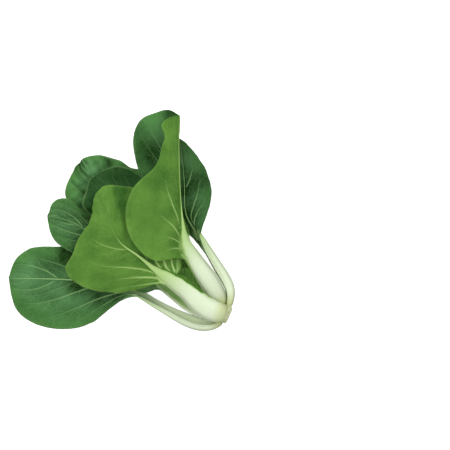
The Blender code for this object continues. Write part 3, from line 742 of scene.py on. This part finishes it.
LOOKS = {
    "leaf_low_left": dict(
        COMMON, tone=0.55, channel=(0.22, 0.85), rims=(0.2, 0), edge=0.1, net=0.07, pucker=1,
        rib=(1, 0.9, 0.8, 0.9, 0.5),
        left=((-0.05, 0.42, 0.8), (0.07, 0.62, 1), (0.31, 0.85, 1), (0.5, 0.92, 0.4),
              (0.65, 0.96, 0.8), (0.85, 0.99, 0.4)),
        right=((0.05, 0.42, 0.5), (0.2, 0.6, 0.5), (0.36, 0.86, 0.7), (0.65, 0.9, 1),
               (0.84, 0.98, 0.4)),
        painted_shade_and_light=(((-50, -31), 9, -0.7), ((-40, -57), 8, -0.6), ((-22, -66), 8, -0.6), ((-5, -68), 8, -0.5),
               ((-90, -50), 20, 0.2), ((-74, -80), 16, 0.2), ((-36, -80), 14, 0.2)),
    ),
    "leaf_front_left": dict(
        COMMON, tone=0.4, channel=(0, 1), rims=(0, 1), edge=0.15, net=0.04, pucker=0.8,
        rib=(1, 0.85, 0.6, 0.12, 0.05),
        left=((-0.1, 0.27, 1.4), (0.07, 0.4, 1.3, 0.85), (0.14, 0.66, 1, 0.8), (0.46, 0.76, 0.8, 0.8),
              (0.62, 0.97, 0.15, 0.6)),
        right=((-0.06, 0.28, 1.5), (0.07, 0.36, 1.5), (0.15, 0.58, 1.4), (0.27, 0.74, 0.5, 0.6),
               (0.45, 0.86, 0.12, 0.5), (0.6, 0.97, 0.08, 0.4)),
        painted_shade_and_light=(((0, 28), 7, -0.5), ((1, 16), 6, -0.4), ((15, -24), 6, -0.3), ((-22, 14), 12, 0.15),
               ((-42, -44), 12, -0.15), ((-15, -17), 9, -0.12), ((-10, -58), 10, 0.12)),
    ),
    "leaf_front_right": dict(
        COMMON, tone=0.44, channel=(0, 1), rims=(0.6, 0), edge=0.1, net=0.04, pucker=0.7,
        rib=(1, 0.7, 0.45, 0.4, 0.35),
        left=((0.08, 0.17, 0.8, 0.7), (0.12, 0.3, 0.8, 0.55), (0.16, 0.5, 0.9, 0.6), (0.22, 0.88, 1, 0.6),
              (0.45, 0.96, 0.25, 0.4), (0.7, 0.99, 0.2, 0.4)),
        right=((0.08, 0.3, 0.5), (0.2, 0.5, 0.5), (0.35, 0.66, 0.9), (0.48, 0.75, 0.8),
               (0.64, 0.86, 0.7), (0.8, 0.95, 0.5)),
        painted_shade_and_light=(((36, -24), 14, 0.06), ((27, 90), 10, 0.3), ((16, 70), 12, -0.25), ((28, 56), 12, -0.35),
               ((44, 97), 6, -0.4)),
    ),
    "leaf_right": dict(
        COMMON, tone=0.3, channel=(0.7, 1), rims=(0.15, 0.15), slim=0.6, edge=0.1, net=0.05, pucker=0.8,
        rib=(1, 0.6, 0.9, 0.9, 0.7),
        left=((0.1, 0.4, 0.3), (0.25, 0.6, 0.3), (0.42, 0.75, 0.3), (0.6, 0.88, 0.3)),
        right=((0.09, 0.38, 0.8, 1), (0.15, 0.7, 1, 0.9), (0.36, 0.74, 0.1, 0.6), (0.52, 0.78, 1, 0.7),
               (0.74, 0.9, 0.3, 0.6)),
        painted_shade_and_light=(((54, 25), 5, -0.5), ((55, 5), 5, -0.6), ((56, -12), 6, -0.6), ((61, -6), 8, -0.5),
               ((62, 55), 12, 0.2)),
    ),
    "leaf_mid_left": dict(
        COMMON, tone=0.42, channel=(0.85, 1.05), web=0.1, edge=0.2, net=0.08, pucker=1.7,
        rib=(0.7, 0.5, 0.4, 0.5, 0.35),
        left=((0.1, 0.45, 0.6), (0.3, 0.62, 0.6), (0.45, 0.85, 0.8), (0.6, 0.99, 1), (0.78, 1.1, 0.8)),
        right=((0.1, 0.45, 0.6), (0.3, 0.65, 0.7), (0.5, 0.88, 0.9), (0.7, 0.96, 0.9)),
        painted_shade_and_light=(((-32, -4), 8, -0.3), ((-38, -25), 8, -0.3), ((-60, 5), 12, 0.15)),
    ),
    "leaf_upper_left": dict(
        COMMON, tone=0.62, channel=(0.8, 1), edge=0.2, net=0.08, pucker=2.6, crease_shade=0.6,
        rib=(0.8, 0.5, 0.3, 0.25, 0.25),
        left=((0.1, 0.4, 0.3), (0.3, 0.6, 0.3), (0.56, 0.8, 1, 2), (0.69, 0.89, 0.3),
              (0.805, 0.967, 1, 2)),
        right=((0.1, 0.4, 0.6), (0.3, 0.6, 0.6), (0.5, 0.78, 0.7), (0.7, 0.92, 0.7)),
        painted_shade_and_light=(((-27, 48), 9, 0.25), ((-42, 26), 9, 0.25), ((-14, 54), 6, -0.3), ((-36, 12), 8, -0.3)),
    ),
    # Painted shade: the low tone darkens this whole leaf, which lies in shade under the leaves above
    "leaf_shaded": dict(
        COMMON, tone=0.06, channel=(0.8, 1), edge=0.35, net=0.02, pucker=0.25,
        rib=(0.8, 0.5, 0.3, 0.2, 0.15), left=FAINT_VEINS, right=FAINT_VEINS,
        painted_shade_and_light=(((-30, 20), 8, 0.1),),
    ),
    "leaf_heart_left": dict(HEART, tone=0.6),
    "leaf_heart_right": dict(HEART, tone=0.5),
}

# How far a stalk's foot runs on into the stem, how far it sinks as it does, and over what length of the
# stalk, in millimetres
ROOTS = {
    "leaf_front_left": (3.0, 4.5),
    "leaf_front_right": (2.5, 0.0),
    "leaf_right": (2.5, 0.0),
    "leaf_low_left": (1.5, 0.0),
}
ROOT_LENGTH = 5.0

# Uneven fields: the waves in one, how much the waves' lengths vary, the seeds, and the sizes in
# millimetres of the blade's soft lumps, of its crumples, and of the wander in edges and twigs
FIELD_WAVES = 9
FIELD_SPREAD = (0.7, 1.6)
FIRST_SEED = 3
SEED_STEP = 40
LUMP_SIZE = 22.0
CRUMPLE_SIZE = 9.0
YOUNG_CRUMPLE_SIZE = 5.0
WANDER_SIZE = 7.0

# Share of the half blade in which its green starts, and how soft the stalk's edge is, in half widths
STARTED_BY = 0.02
STALK_SOFTNESS = (0.7, 1.3)
EDGE_WANDER = 0.08

# Green rims on a stalk: how far in they reach and how soft they are, in half widths, and the shares of
# the stalk over which they reach in and grow strong
RIM_REACH = 0.6
RIM_SOFTNESS = 0.35
RIM_WIDENS = (0.1, 0.85)
RIM_GROWS = (0.15, 0.5)

# White beside the midrib: how far out it ends, in half widths, and how far along the half blade
WEB_ENDS = (0.9, 1.7)
WEB_LENGTH = 0.22

# Share of the half blade by which a slim midrib has become slim
SLIM_BY = 0.3

# The stalk's green channel grows over these shares of the stalk, and fades from this share of its spread
CHANNEL_GROWS = (0.08, 0.6)
CHANNEL_FULL = 0.5

# The stalk's foot is tinted over this length, and its end towards the veins' colour: from this share of
# the stalk to this far beyond it, and by this much
FOOT_TINT_LENGTH = 13.0
TINT_FROM = 0.6
TINT_BEYOND = 0.12
TINT_SHARE = 0.9

# Nearest and furthest that two vein lines may count as apart, in millimetres
GAP_RANGE = (1.5, 40)

# A vein keeps its strength for this share of its length. It narrows towards the margin from this share
# of the way out, by so much, and by so much along the blade, and it ends just short of the margin.
VEIN_FULL = 0.4
VEIN_NARROWS_FROM = 0.2
VEIN_NARROWING = 0.75
VEIN_NARROWING_ALONG = 0.45
VEINS_END_FROM = 0.9

# Twigs: their strength, what they lose on the way out, their strength where veins are faint, the slant by
# which they run less steeply than the veins, and how far the uneven fields bend them
TWIG_STRENGTH = 0.5
TWIG_NARROWING = 0.5
TWIG_LEAST = 0.4
TWIG_SLANT = 0.1
TWIG_WANDER = 0.12
TWIG_LUMPS = 0.25

# How uneven the green is, and how much of the margin's own green shows, and from how far out
TONE_LUMPS = 0.1
MARGIN_TINT = 0.8
MARGIN_TINT_FROM = 0.4
PALE_EDGE_FROM = 0.95

# Painted shade in the dark folds of a crumpled leaf: half their width in millimetres, and where they start
# and end
CREASE_SHADE_WIDTH = 1.5
CREASE_SHADE_STARTS = (0.1, 0.3)
CREASE_SHADE_ENDS = (0.88, 1.0)

# Relief in millimetres: the bulge between veins, the lumps and crumples, the frill of the margin, and a
# vein's height and half width
QUILT_HEIGHT = 0.5
LUMP_HEIGHT = 0.35
CRUMPLE_HEIGHT = 0.18
FRILL_HEIGHT = 0.45
VEIN_HEIGHT = 0.4
VEIN_HALF_WIDTH = 0.8

# Shares of the way out from which the bulges calm, by so much, and from which the margin frills
PUCKER_CALMS_FROM = 0.75
PUCKER_CALMING = 0.6
FRILL_FROM = 0.8

# Share of the way out from which a leaf thins, by how much a stalk's edge does, and the length over which
# a stalk's base rounds off, down to this share of its thickness
THINS_FROM = 0.7
STALK_THINNING = 0.35
BASE_LENGTH = 2.5
BASE_LEAST = 0.12

# How thick a leaf on the table stays where a vein is pressed into it
GROOVED_THICKNESS = 0.3


def uneven_field(places, size, seed):
    """A smooth uneven field, mostly from -1 to 1, over the places, with lumps of about the given size."""
    draw = np.random.default_rng(seed)
    total = np.zeros(places.shape[:-1])
    for _ in range(FIELD_WAVES):
        direction = draw.normal(size=2)
        direction /= np.linalg.norm(direction)
        rate = 2 * math.pi / (size * draw.uniform(*FIELD_SPREAD))
        total += np.sin(places[..., :2] @ direction * rate + draw.uniform(0, 2 * math.pi))
    return total / math.sqrt(FIELD_WAVES)


def vein_field(blade, out, veins):
    """A number that rises along the half blade and is whole on each vein, and the veins' strength there."""
    starts, ends, strengths, lengths = np.array([(*vein, LONG_VEIN)[:4] for vein in veins], float).T
    whole = np.arange(1, len(veins) + 1, dtype=float)
    field = np.zeros_like(blade)
    for j in range(blade.shape[1]):
        at = starts + (ends - starts) * out[0, j]
        before = at[0] - (at[1] - at[0])
        after = at[-1] + (at[-1] - at[-2])
        field[:, j] = np.interp(blade[:, j], (before, *at, after), (0.0, *whole, len(veins) + 1.0))
    length = np.interp(field, whole, lengths)
    return field, np.interp(field, whole, strengths) * (1 - rise(out, VEIN_FULL * length, length))


def spacing(surface, field):
    """Millimetres from one whole value of the field to the next, at each point of the surface."""
    along = np.gradient(surface, axis=0)
    across = np.gradient(surface, axis=1)
    rise_along = np.gradient(field, axis=0)
    rise_across = np.gradient(field, axis=1)
    aa = np.sum(along * along, axis=-1)
    cc = np.sum(across * across, axis=-1)
    ac = np.sum(along * across, axis=-1)
    area = np.maximum(aa * cc - ac * ac, TINY)
    slope = (cc * rise_along**2 - 2 * ac * rise_along * rise_across + aa * rise_across**2) / area
    return np.clip(1 / np.sqrt(np.maximum(slope, TINY)), *GAP_RANGE)


def surface_measures(surface):
    """How far each point is from the midrib, and how far up the midrib its row is, in millimetres."""
    centre = surface.shape[1] // 2
    steps = np.linalg.norm(np.diff(surface, axis=1), axis=2)
    across = np.zeros(surface.shape[:2])
    across[:, centre + 1 :] = np.cumsum(steps[:, centre:], axis=1)
    across[:, :centre] = -np.cumsum(steps[:, :centre][:, ::-1], axis=1)[:, ::-1]
    ridge = np.linalg.norm(np.diff(surface[:, centre], axis=0), axis=1)
    along = np.concatenate(((0.0,), np.cumsum(ridge)))
    return across, np.repeat(along[:, None], surface.shape[1], axis=1)


def blade_places(leaf, shares, rib_columns, blade_columns):
    """For each surface point: its share along its half blade, and its share out to the margin."""
    steps = np.concatenate((np.zeros(rib_columns), np.arange(1, blade_columns + 1) / blade_columns))
    out = np.concatenate((steps[::-1], (0.0,), steps))
    halves = []
    for half in (leaf["left"], leaf["right"]):
        blade = np.clip((shares - half["start"]) / (1 - half["start"]), 0, 1)
        halves.append(np.repeat(blade[:, None], len(steps), axis=1))
    middle = (halves[0][:, :1] + halves[1][:, :1]) / 2
    return np.concatenate((halves[0], middle, halves[1]), axis=1), np.repeat(out[None], len(shares), axis=0)


def vein_marks(look, surface, blade, out, lumps, wander):
    """The fields whose whole values are veins and twigs, their gaps, and the veins' strength."""
    centre = surface.shape[1] // 2
    halves = (("left", slice(0, centre)), ("right", slice(centre, None)))
    pairs = [vein_field(blade[:, columns], out[:, columns], look[side]) for side, columns in halves]
    vein, strength = (np.concatenate(fields, axis=1) for fields in zip(*pairs))
    twig = look["twigs"] * (blade - TWIG_SLANT * out) + TWIG_WANDER * wander + TWIG_LUMPS * lumps
    gaps = []
    for field in (vein, twig):
        left_gap = spacing(surface[:, : centre + 1], field[:, : centre + 1])[:, :centre]
        gaps.append(np.concatenate((left_gap, spacing(surface[:, centre:], field[:, centre:])), axis=1))
    return vein, twig, gaps, strength


def leaf_tone(look, surface, lumps):
    """How bright the green is before the painted shade of its creases, with the painted light and painted
    shade of its spots.
    """
    tone = look["tone"] - PATCH_SHARE / 2 + TONE_LUMPS * lumps
    # Painted light and painted shade: each spot brightens or darkens the green round its place
    for (x, y), size, amount in look["painted_shade_and_light"]:
        distance = np.hypot(surface[..., 0] - x, surface[..., 1] - y)
        tone = tone + amount * np.exp(-((distance / size) ** 2))
    return tone


def leaf_details(name, leaf, shares, surface, *columns):
    """What a leaf's materials read at its surface points, and what its relief reads there."""
    look, neck, share = LOOKS[name], leaf["neck"], shares[:, None]
    up_stalk = share / neck
    across, along = surface_measures(surface)
    blade, out = blade_places(leaf, shares, *columns)
    centre = surface.shape[1] // 2
    middle = blade[:, centre, None]
    seed = sorted(LEAVES).index(name) + FIRST_SEED
    sizes = (LUMP_SIZE, YOUNG_CRUMPLE_SIZE if name in YOUNG_LEAVES else CRUMPLE_SIZE, WANDER_SIZE)
    fields = [uneven_field(surface, size, seed + SEED_STEP * k) for k, size in enumerate(sizes)]
    lumps, crumple, wander = fields
    half = leaf_frame(leaf, shares)["half"]
    nearness = np.abs(across) / (half * (1 + EDGE_WANDER * wander))
    started = rise(blade, 0.0, STARTED_BY)
    on_blade = started * rise(nearness, *STALK_SOFTNESS)

    slim = 1 - (1 - look["slim"]) * rise(middle, 0.0, SLIM_BY)
    left_rim, right_rim = look["rims"]
    rim_from = 1.0 - RIM_REACH * rise(up_stalk, *RIM_WIDENS)
    rim = np.where(np.arange(blade.shape[1]) < centre, left_rim, right_rim) * rise(up_stalk, *RIM_GROWS)
    rim = rim * rise(nearness, rim_from, rim_from + RIM_SOFTNESS)
    web = look["web"] * (1 - rise(nearness, *WEB_ENDS)) * (1 - rise(middle, 0.0, WEB_LENGTH))
    channel, spread = look["channel"]
    channel = channel * rise(up_stalk, *CHANNEL_GROWS) * (1 - rise(nearness, CHANNEL_FULL * spread, spread))

    vein, twig, (vein_gap, twig_gap), strength = vein_marks(look, surface, blade, out, lumps, wander)
    ending = on_blade * (1 - rise(out, VEINS_END_FROM, 1.0))
    narrowing = 1 - VEIN_NARROWING * rise(out, VEIN_NARROWS_FROM, 1.0)
    reach = (1 - look["crease_shade"]) * strength * ending * narrowing * (1 - VEIN_NARROWING_ALONG * blade)
    twig_reach = TWIG_STRENGTH * (vein % 1) * (1 - TWIG_NARROWING * out) * ending
    off_vein = (vein + 0.5) % 1 - 0.5
    # Painted shade: the green darkens along the veins, where a crumpled leaf's folds lie in shade
    crease_shade = look["crease_shade"] * strength * rise(out, *CREASE_SHADE_STARTS) * (1 - rise(out, *CREASE_SHADE_ENDS)) * started
    crease_shade = crease_shade * np.exp(-((off_vein * vein_gap / CREASE_SHADE_WIDTH) ** 2))
    tone = np.clip(leaf_tone(look, surface, lumps) - crease_shade, -PATCH_SHARE, 1)
    marks = dict(
        across_mm=across,
        along_mm=along,
        white=np.maximum(1 - started, web) * (1 - rim),
        rib_width=half * slim * np.interp(middle, RIB_PLACES, RIB_NARROWING),
        rib_share=np.interp(middle, RIB_PLACES, look["rib"]) * (1 - rim),
        rib_tint=TINT_SHARE * rise(share, TINT_FROM * neck, neck + TINT_BEYOND),
        foot=1 - rise(along, 0.0, FOOT_TINT_LENGTH),
        channel=channel,
        vein_place=vein,
        vein_gap=vein_gap,
        vein_reach=reach,
        twig_place=twig,
        twig_gap=twig_gap,
        twig_reach=twig_reach * (TWIG_LEAST + (1 - TWIG_LEAST) * strength),
        tone=tone,
        net_share=look["net"] * on_blade,
        edge=look["edge"] * rise(out, PALE_EDGE_FROM, 1.0) * started,
        margin=MARGIN_TINT * tone * rise(out, MARGIN_TINT_FROM, 1.0),
    )
    shape = dict(
        along=along, blade=blade, out=out, on_blade=on_blade, lumps=lumps, crumple=crumple,
        off_vein=off_vein, vein_gap=vein_gap, vein_reach=reach, pucker=look["pucker"],
    )
    return {word: np.broadcast_to(values, blade.shape) for word, values in marks.items()}, shape


def relief(shape):
    """How far the whole sheet puckers, and how far its veins stand out, in millimetres."""
    out, on_blade, crumple = shape["out"], shape["on_blade"], shape["crumple"]
    quilt = -0.5 * np.cos(2 * math.pi * shape["off_vein"])
    calming = on_blade * (1 - PUCKER_CALMING * rise(out, PUCKER_CALMS_FROM, 1.0)) * shape["pucker"]
    pucker = calming * (QUILT_HEIGHT * quilt + LUMP_HEIGHT * shape["lumps"] + CRUMPLE_HEIGHT * crumple)
    frill = FRILL_HEIGHT * crumple * rise(out, FRILL_FROM, 1.0) * on_blade
    from_vein = shape["off_vein"] * shape["vein_gap"] / VEIN_HALF_WIDTH
    return pucker + frill, VEIN_HEIGHT * np.exp(-(from_vein**2)) * shape["vein_reach"]


def thinned(sheet, swelling, shape):
    """The sheet thins to its margin, and both thicknesses close round the stalk's base."""
    base = np.clip(shape["along"] / BASE_LENGTH, 0, 1)
    rounded = np.maximum(np.sqrt(1 - (1 - base) ** 2), BASE_LEAST)
    thinning = np.where(shape["blade"] > 0, 1 - MARGIN_THICKNESS / BLADE_THICKNESS, STALK_THINNING)
    return sheet * (1 - thinning * rise(shape["out"], THINS_FROM, 1.0)) * rounded, swelling * rounded


def fine_piece(node, points, quads, sides, marks, materials):
    """The fine piece that stands for a CAD node, from points in millimetres.

    Sides says which material each face has, and marks are the values that the materials read. A face with
    two corners in one point keeps three, and a point that no face uses is left out.
    """
    name = "fine_" + node
    used, corners = np.unique(quads, return_inverse=True)
    faces = [list(dict.fromkeys(face)) for face in corners.reshape(quads.shape).tolist()]
    mesh = bpy.data.meshes.new(name)
    mesh.from_pydata(((points[used] - (*HEAD_MIDDLE, 0)) * MM).tolist(), [], faces)
    mesh.polygons.foreach_set("material_index", sides)
    for word, values in marks.items():
        mesh.attributes.new(word, "FLOAT", "POINT").data.foreach_set("value", values[used])
    mesh.shade_smooth()
    for material in materials:
        mesh.materials.append(material)
    mesh.validate()
    mesh.update()
    piece = bpy.data.objects.new(name, mesh)
    bpy.context.scene.collection.objects.link(piece)
    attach(piece, "root")
    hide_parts(node)


def closed_leaf(name, upper, lower, marks, materials):
    """One closed piece from two skins whose last rows are single tip points."""
    rows, columns = upper.shape[:2]
    tip = columns // 2
    per_skin = (rows - 1) * columns + 1
    numbers = np.arange((rows - 1) * columns).reshape(rows - 1, columns)
    numbers = np.concatenate((numbers, np.full((1, columns), per_skin - 1)))

    def skin_values(values):
        return np.concatenate((values[:-1].reshape(-1, *values.shape[2:]), values[-1, tip][None]))

    def wall(low, high):
        return np.stack((low, low + per_skin, high + per_skin, high), axis=1)

    a, b = numbers[:-1, :-1].ravel(), numbers[:-1, 1:].ravel()
    c, d = numbers[1:, 1:].ravel(), numbers[1:, :-1].ravel()
    top = np.stack((a, b, c, d), axis=1)
    under = top[:, ::-1] + per_skin
    left = wall(numbers[:-1, 0], numbers[1:, 0])[:, ::-1]
    right = wall(numbers[:-1, -1], numbers[1:, -1])
    base = wall(numbers[0, :-1], numbers[0, 1:])
    quads = np.concatenate((top, under, left, right, base))
    sides = np.zeros(len(quads), int)
    sides[len(top) : 2 * len(top)] = 1
    points = np.concatenate((skin_values(upper), skin_values(lower)))
    marks = {word: np.tile(skin_values(values), 2) for word, values in marks.items()}
    fine_piece(name, points, quads, sides, marks, materials)


def fine_leaf(name, leaf):
    """The finer leaf from the same curves as the CAD node that it replaces."""
    young = name in YOUNG_LEAVES
    stalk_rows, blade_rows, *columns = YOUNG_DIVISIONS if young else LEAF_DIVISIONS
    shares = row_shares(leaf["neck"], stalk_rows, blade_rows)
    surface, sheet, swelling = leaf_surface(leaf, shares, *columns)
    marks, shape = leaf_details(name, leaf, shares, surface, *columns)
    pucker, vein = relief(shape)
    facing = unit(np.cross(np.gradient(surface, axis=1), np.gradient(surface, axis=0)))
    surface = surface + facing * pucker[..., None]
    extend, sink = ROOTS.get(name, (0.0, 0.0))
    rooted = np.clip(1 - shape["along"] / ROOT_LENGTH, 0, 1)[..., None] ** 2
    surface = surface - rooted * (extend * leaf_frame(leaf, shares)["ahead"][:, None] + sink * UP)
    sheet, swelling = thinned(sheet, swelling, shape)
    upper, lower = leaf_skins(surface, sheet, swelling, leaf["inner_side"])
    groove = -leaf["inner_side"] * vein[..., None] * facing
    upper = upper + groove
    lower = lower + groove
    upper[..., 2] = np.maximum(upper[..., 2], GROOVED_THICKNESS)
    lower[..., 2] = np.maximum(lower[..., 2], 0)
    inner = YOUNG_SIDE if young else UPPER_SIDE
    materials = (inner, UNDERSIDE) if leaf["inner_side"] > 0 else (UNDERSIDE, inner)
    closed_leaf(name, upper, lower, marks, materials)


# The stem: where its cut end is, the way its axis runs from there, and its profile as radius and distance
# along the axis, whose first rings are the cut face
STEM_AT = (96.5, -85.1, 15.5)
STEM_AXIS = (-0.9, 0.42, 0.0)
STEM_PROFILE = ((0.0, -0.1), (2.0, -0.15), (4.5, -0.2), (6.0, -0.15), (6.7, 0.0), (7.3, 0.5), (7.8, 1.2),
                (8.0, 2.0), (8.0, 3.0), (7.7, 4.0), (7.2, 4.9), (6.5, 5.6), (4.6, 7.0), (3.4, 10.4),
                (1.6, 13.9), (0.0, 14.0))
STEM_SIDES = 120
STEM_ROWS_PER_STEP = 4
CUT_RINGS = 4

# The waves that make the stem uneven: strength, number round it, turn from ring to ring, and phase
STEM_WAVES = ((0.12, 3, 0, 0.7), (0.08, 7, 1, 0), (0.05, 13, -2, 0))

# How uneven the stem's radius is, as a share of it, and its cut face, in millimetres
RADIUS_UNEVEN = 0.25
CUT_UNEVEN = 0.6

# The collar that old leaves left: how far it swells at the top and at the side, and along what part
COLLAR_TOP = 2.0
COLLAR_SIDE = 1.2
COLLAR_STARTS = (1.0, 3.0)
COLLAR_ENDS = (6.0, 10.0)


def fine_stem():
    """The cut end of the stem: an uneven face, a worn rim and a collar from leaves that were pulled off."""
    axis = unit(np.array(STEM_AXIS))
    side = unit(np.cross(axis, UP))
    top = np.cross(side, axis)
    steps = len(STEM_PROFILE) - 1
    marks = np.linspace(0, steps, STEM_ROWS_PER_STEP * steps + 1)
    radius, along = (np.interp(marks, range(steps + 1), values) for values in zip(*STEM_PROFILE))
    turn = 2 * math.pi * np.arange(STEM_SIDES) / STEM_SIDES
    ring, angle = np.meshgrid(marks, turn, indexing="ij")
    uneven = sum(strength * np.sin(count * angle + twist * ring + phase)
                 for strength, count, twist, phase in STEM_WAVES)
    on_cut = ring < CUT_RINGS
    pushed = along[:, None] + CUT_UNEVEN * uneven * on_cut
    behind_cut = rise(along, *COLLAR_STARTS) * (1 - rise(along, *COLLAR_ENDS))
    collar = COLLAR_TOP * np.maximum(np.sin(angle), 0) ** 2 + COLLAR_SIDE * np.maximum(np.cos(angle), 0) ** 2
    grown = radius[:, None] * (1 + RADIUS_UNEVEN * uneven) + behind_cut[:, None] * collar
    outward = np.cos(angle)[..., None] * side + np.sin(angle)[..., None] * top
    points = np.array(STEM_AT) + axis * pushed[..., None] + outward * grown[..., None]
    points[0] = points[0].mean(axis=0)
    points[-1] = points[-1].mean(axis=0)
    numbers = np.arange(ring.size).reshape(ring.shape)
    numbers[0] = 0
    numbers[-1] = numbers[-1, 0]
    follow = np.roll(numbers, -1, axis=1)
    quads = np.stack((numbers[:-1], numbers[1:], follow[1:], follow[:-1]), axis=-1).reshape(-1, 4)
    values = {"from_axis_mm": grown.ravel(), "on_cut": on_cut.ravel() * 1.0}
    sides = np.zeros(len(quads), int)
    fine_piece("stem", points.reshape(-1, 3), quads, sides, values, (STEM_TISSUE,))


# The floor's reach from its middle in metres, and its finish. The paper under the head is overexposed,
# so it glows, for the camera only.
FLOOR_REACH = 3.0
PALE_PAPER = {
    "Base Color": (0.62, 0.62, 0.62, 1),
    "Roughness": 0.9,
    "Specular IOR Level": 0.0,
    "Emission Color": (1, 1, 1, 1),
}
FLOOR_GLOW = 0.9

# Soft lamps aimed at the head: place, width in metres and power in watts, and the strength of the sky
LAMPS = {"key": ((-0.9, 0.8, 1.3), 0.9, 12), "fill": ((1.0, 0.6, 1.2), 1.2, 5)}
SKY_STRENGTH = 0.76

# The photograph's width, a pixel's size in millimetres, and the pixel where the points' frame starts
PHOTO_PIXELS = 450
PIXEL_SIZE = 0.9
START_PIXEL = (122, 221)

# The camera's height over the table and how far it sees, in metres, and its sensor's width in millimetres
CAMERA_HEIGHT = 3.0
CAMERA_REACH = 20
SENSOR_WIDTH = 36


def make_floor():
    corners = [(x * FLOOR_REACH, y * FLOOR_REACH, 0) for x, y in ((-1, -1), (1, -1), (1, 1), (-1, 1))]
    mesh = bpy.data.meshes.new("floor")
    mesh.from_pydata(corners, [], [(0, 1, 2, 3)])
    material, tree, shader = blank_material("pale_floor", PALE_PAPER)
    seen = tree.nodes.new("ShaderNodeLightPath").outputs["Is Camera Ray"]
    connect(tree, product(tree, seen, FLOOR_GLOW), shader.inputs["Emission Strength"])
    mesh.materials.append(material)
    floor = bpy.data.objects.new("floor", mesh)
    bpy.context.scene.collection.objects.link(floor)


def soft_light(name, place, size, watts):
    light = bpy.data.lights.new(name, "AREA")
    light.shape = "SQUARE"
    light.size = size
    light.energy = watts
    lamp = bpy.data.objects.new(name, light)
    lamp.location = place
    lamp.rotation_euler = (-Vector(place)).to_track_quat("-Z", "Y").to_euler()
    bpy.context.scene.collection.objects.link(lamp)


def make_camera():
    """Straight above the middle of the photograph's frame, from far off, so that heights hardly spread."""
    camera = bpy.data.cameras.new("camera")
    camera.sensor_width = SENSOR_WIDTH
    camera.lens = SENSOR_WIDTH * CAMERA_HEIGHT / (PHOTO_PIXELS * PIXEL_SIZE * MM)
    camera.clip_end = CAMERA_REACH
    middle = PHOTO_PIXELS / 2
    x = (middle - START_PIXEL[0]) * PIXEL_SIZE - HEAD_MIDDLE[0]
    y = (START_PIXEL[1] - middle) * PIXEL_SIZE - HEAD_MIDDLE[1]
    eye = bpy.data.objects.new("camera", camera)
    eye.location = (x * MM, y * MM, CAMERA_HEIGHT)
    bpy.context.scene.collection.objects.link(eye)
    bpy.context.scene.camera = eye


def set_surroundings():
    world = bpy.data.worlds.new("studio")
    world.use_nodes = True
    sky = world.node_tree.nodes["Background"].inputs
    sky["Color"].default_value = (1, 1, 1, 1)
    sky["Strength"].default_value = SKY_STRENGTH
    bpy.context.scene.world = world
    bpy.context.scene.view_settings.view_transform = "Standard"


for leaf_name, leaf_shape in LEAVES.items():
    fine_leaf(leaf_name, leaf_shape)
fine_stem()
make_floor()
for lamp_name, lamp_values in LAMPS.items():
    soft_light(lamp_name, *lamp_values)
make_camera()
set_surroundings()
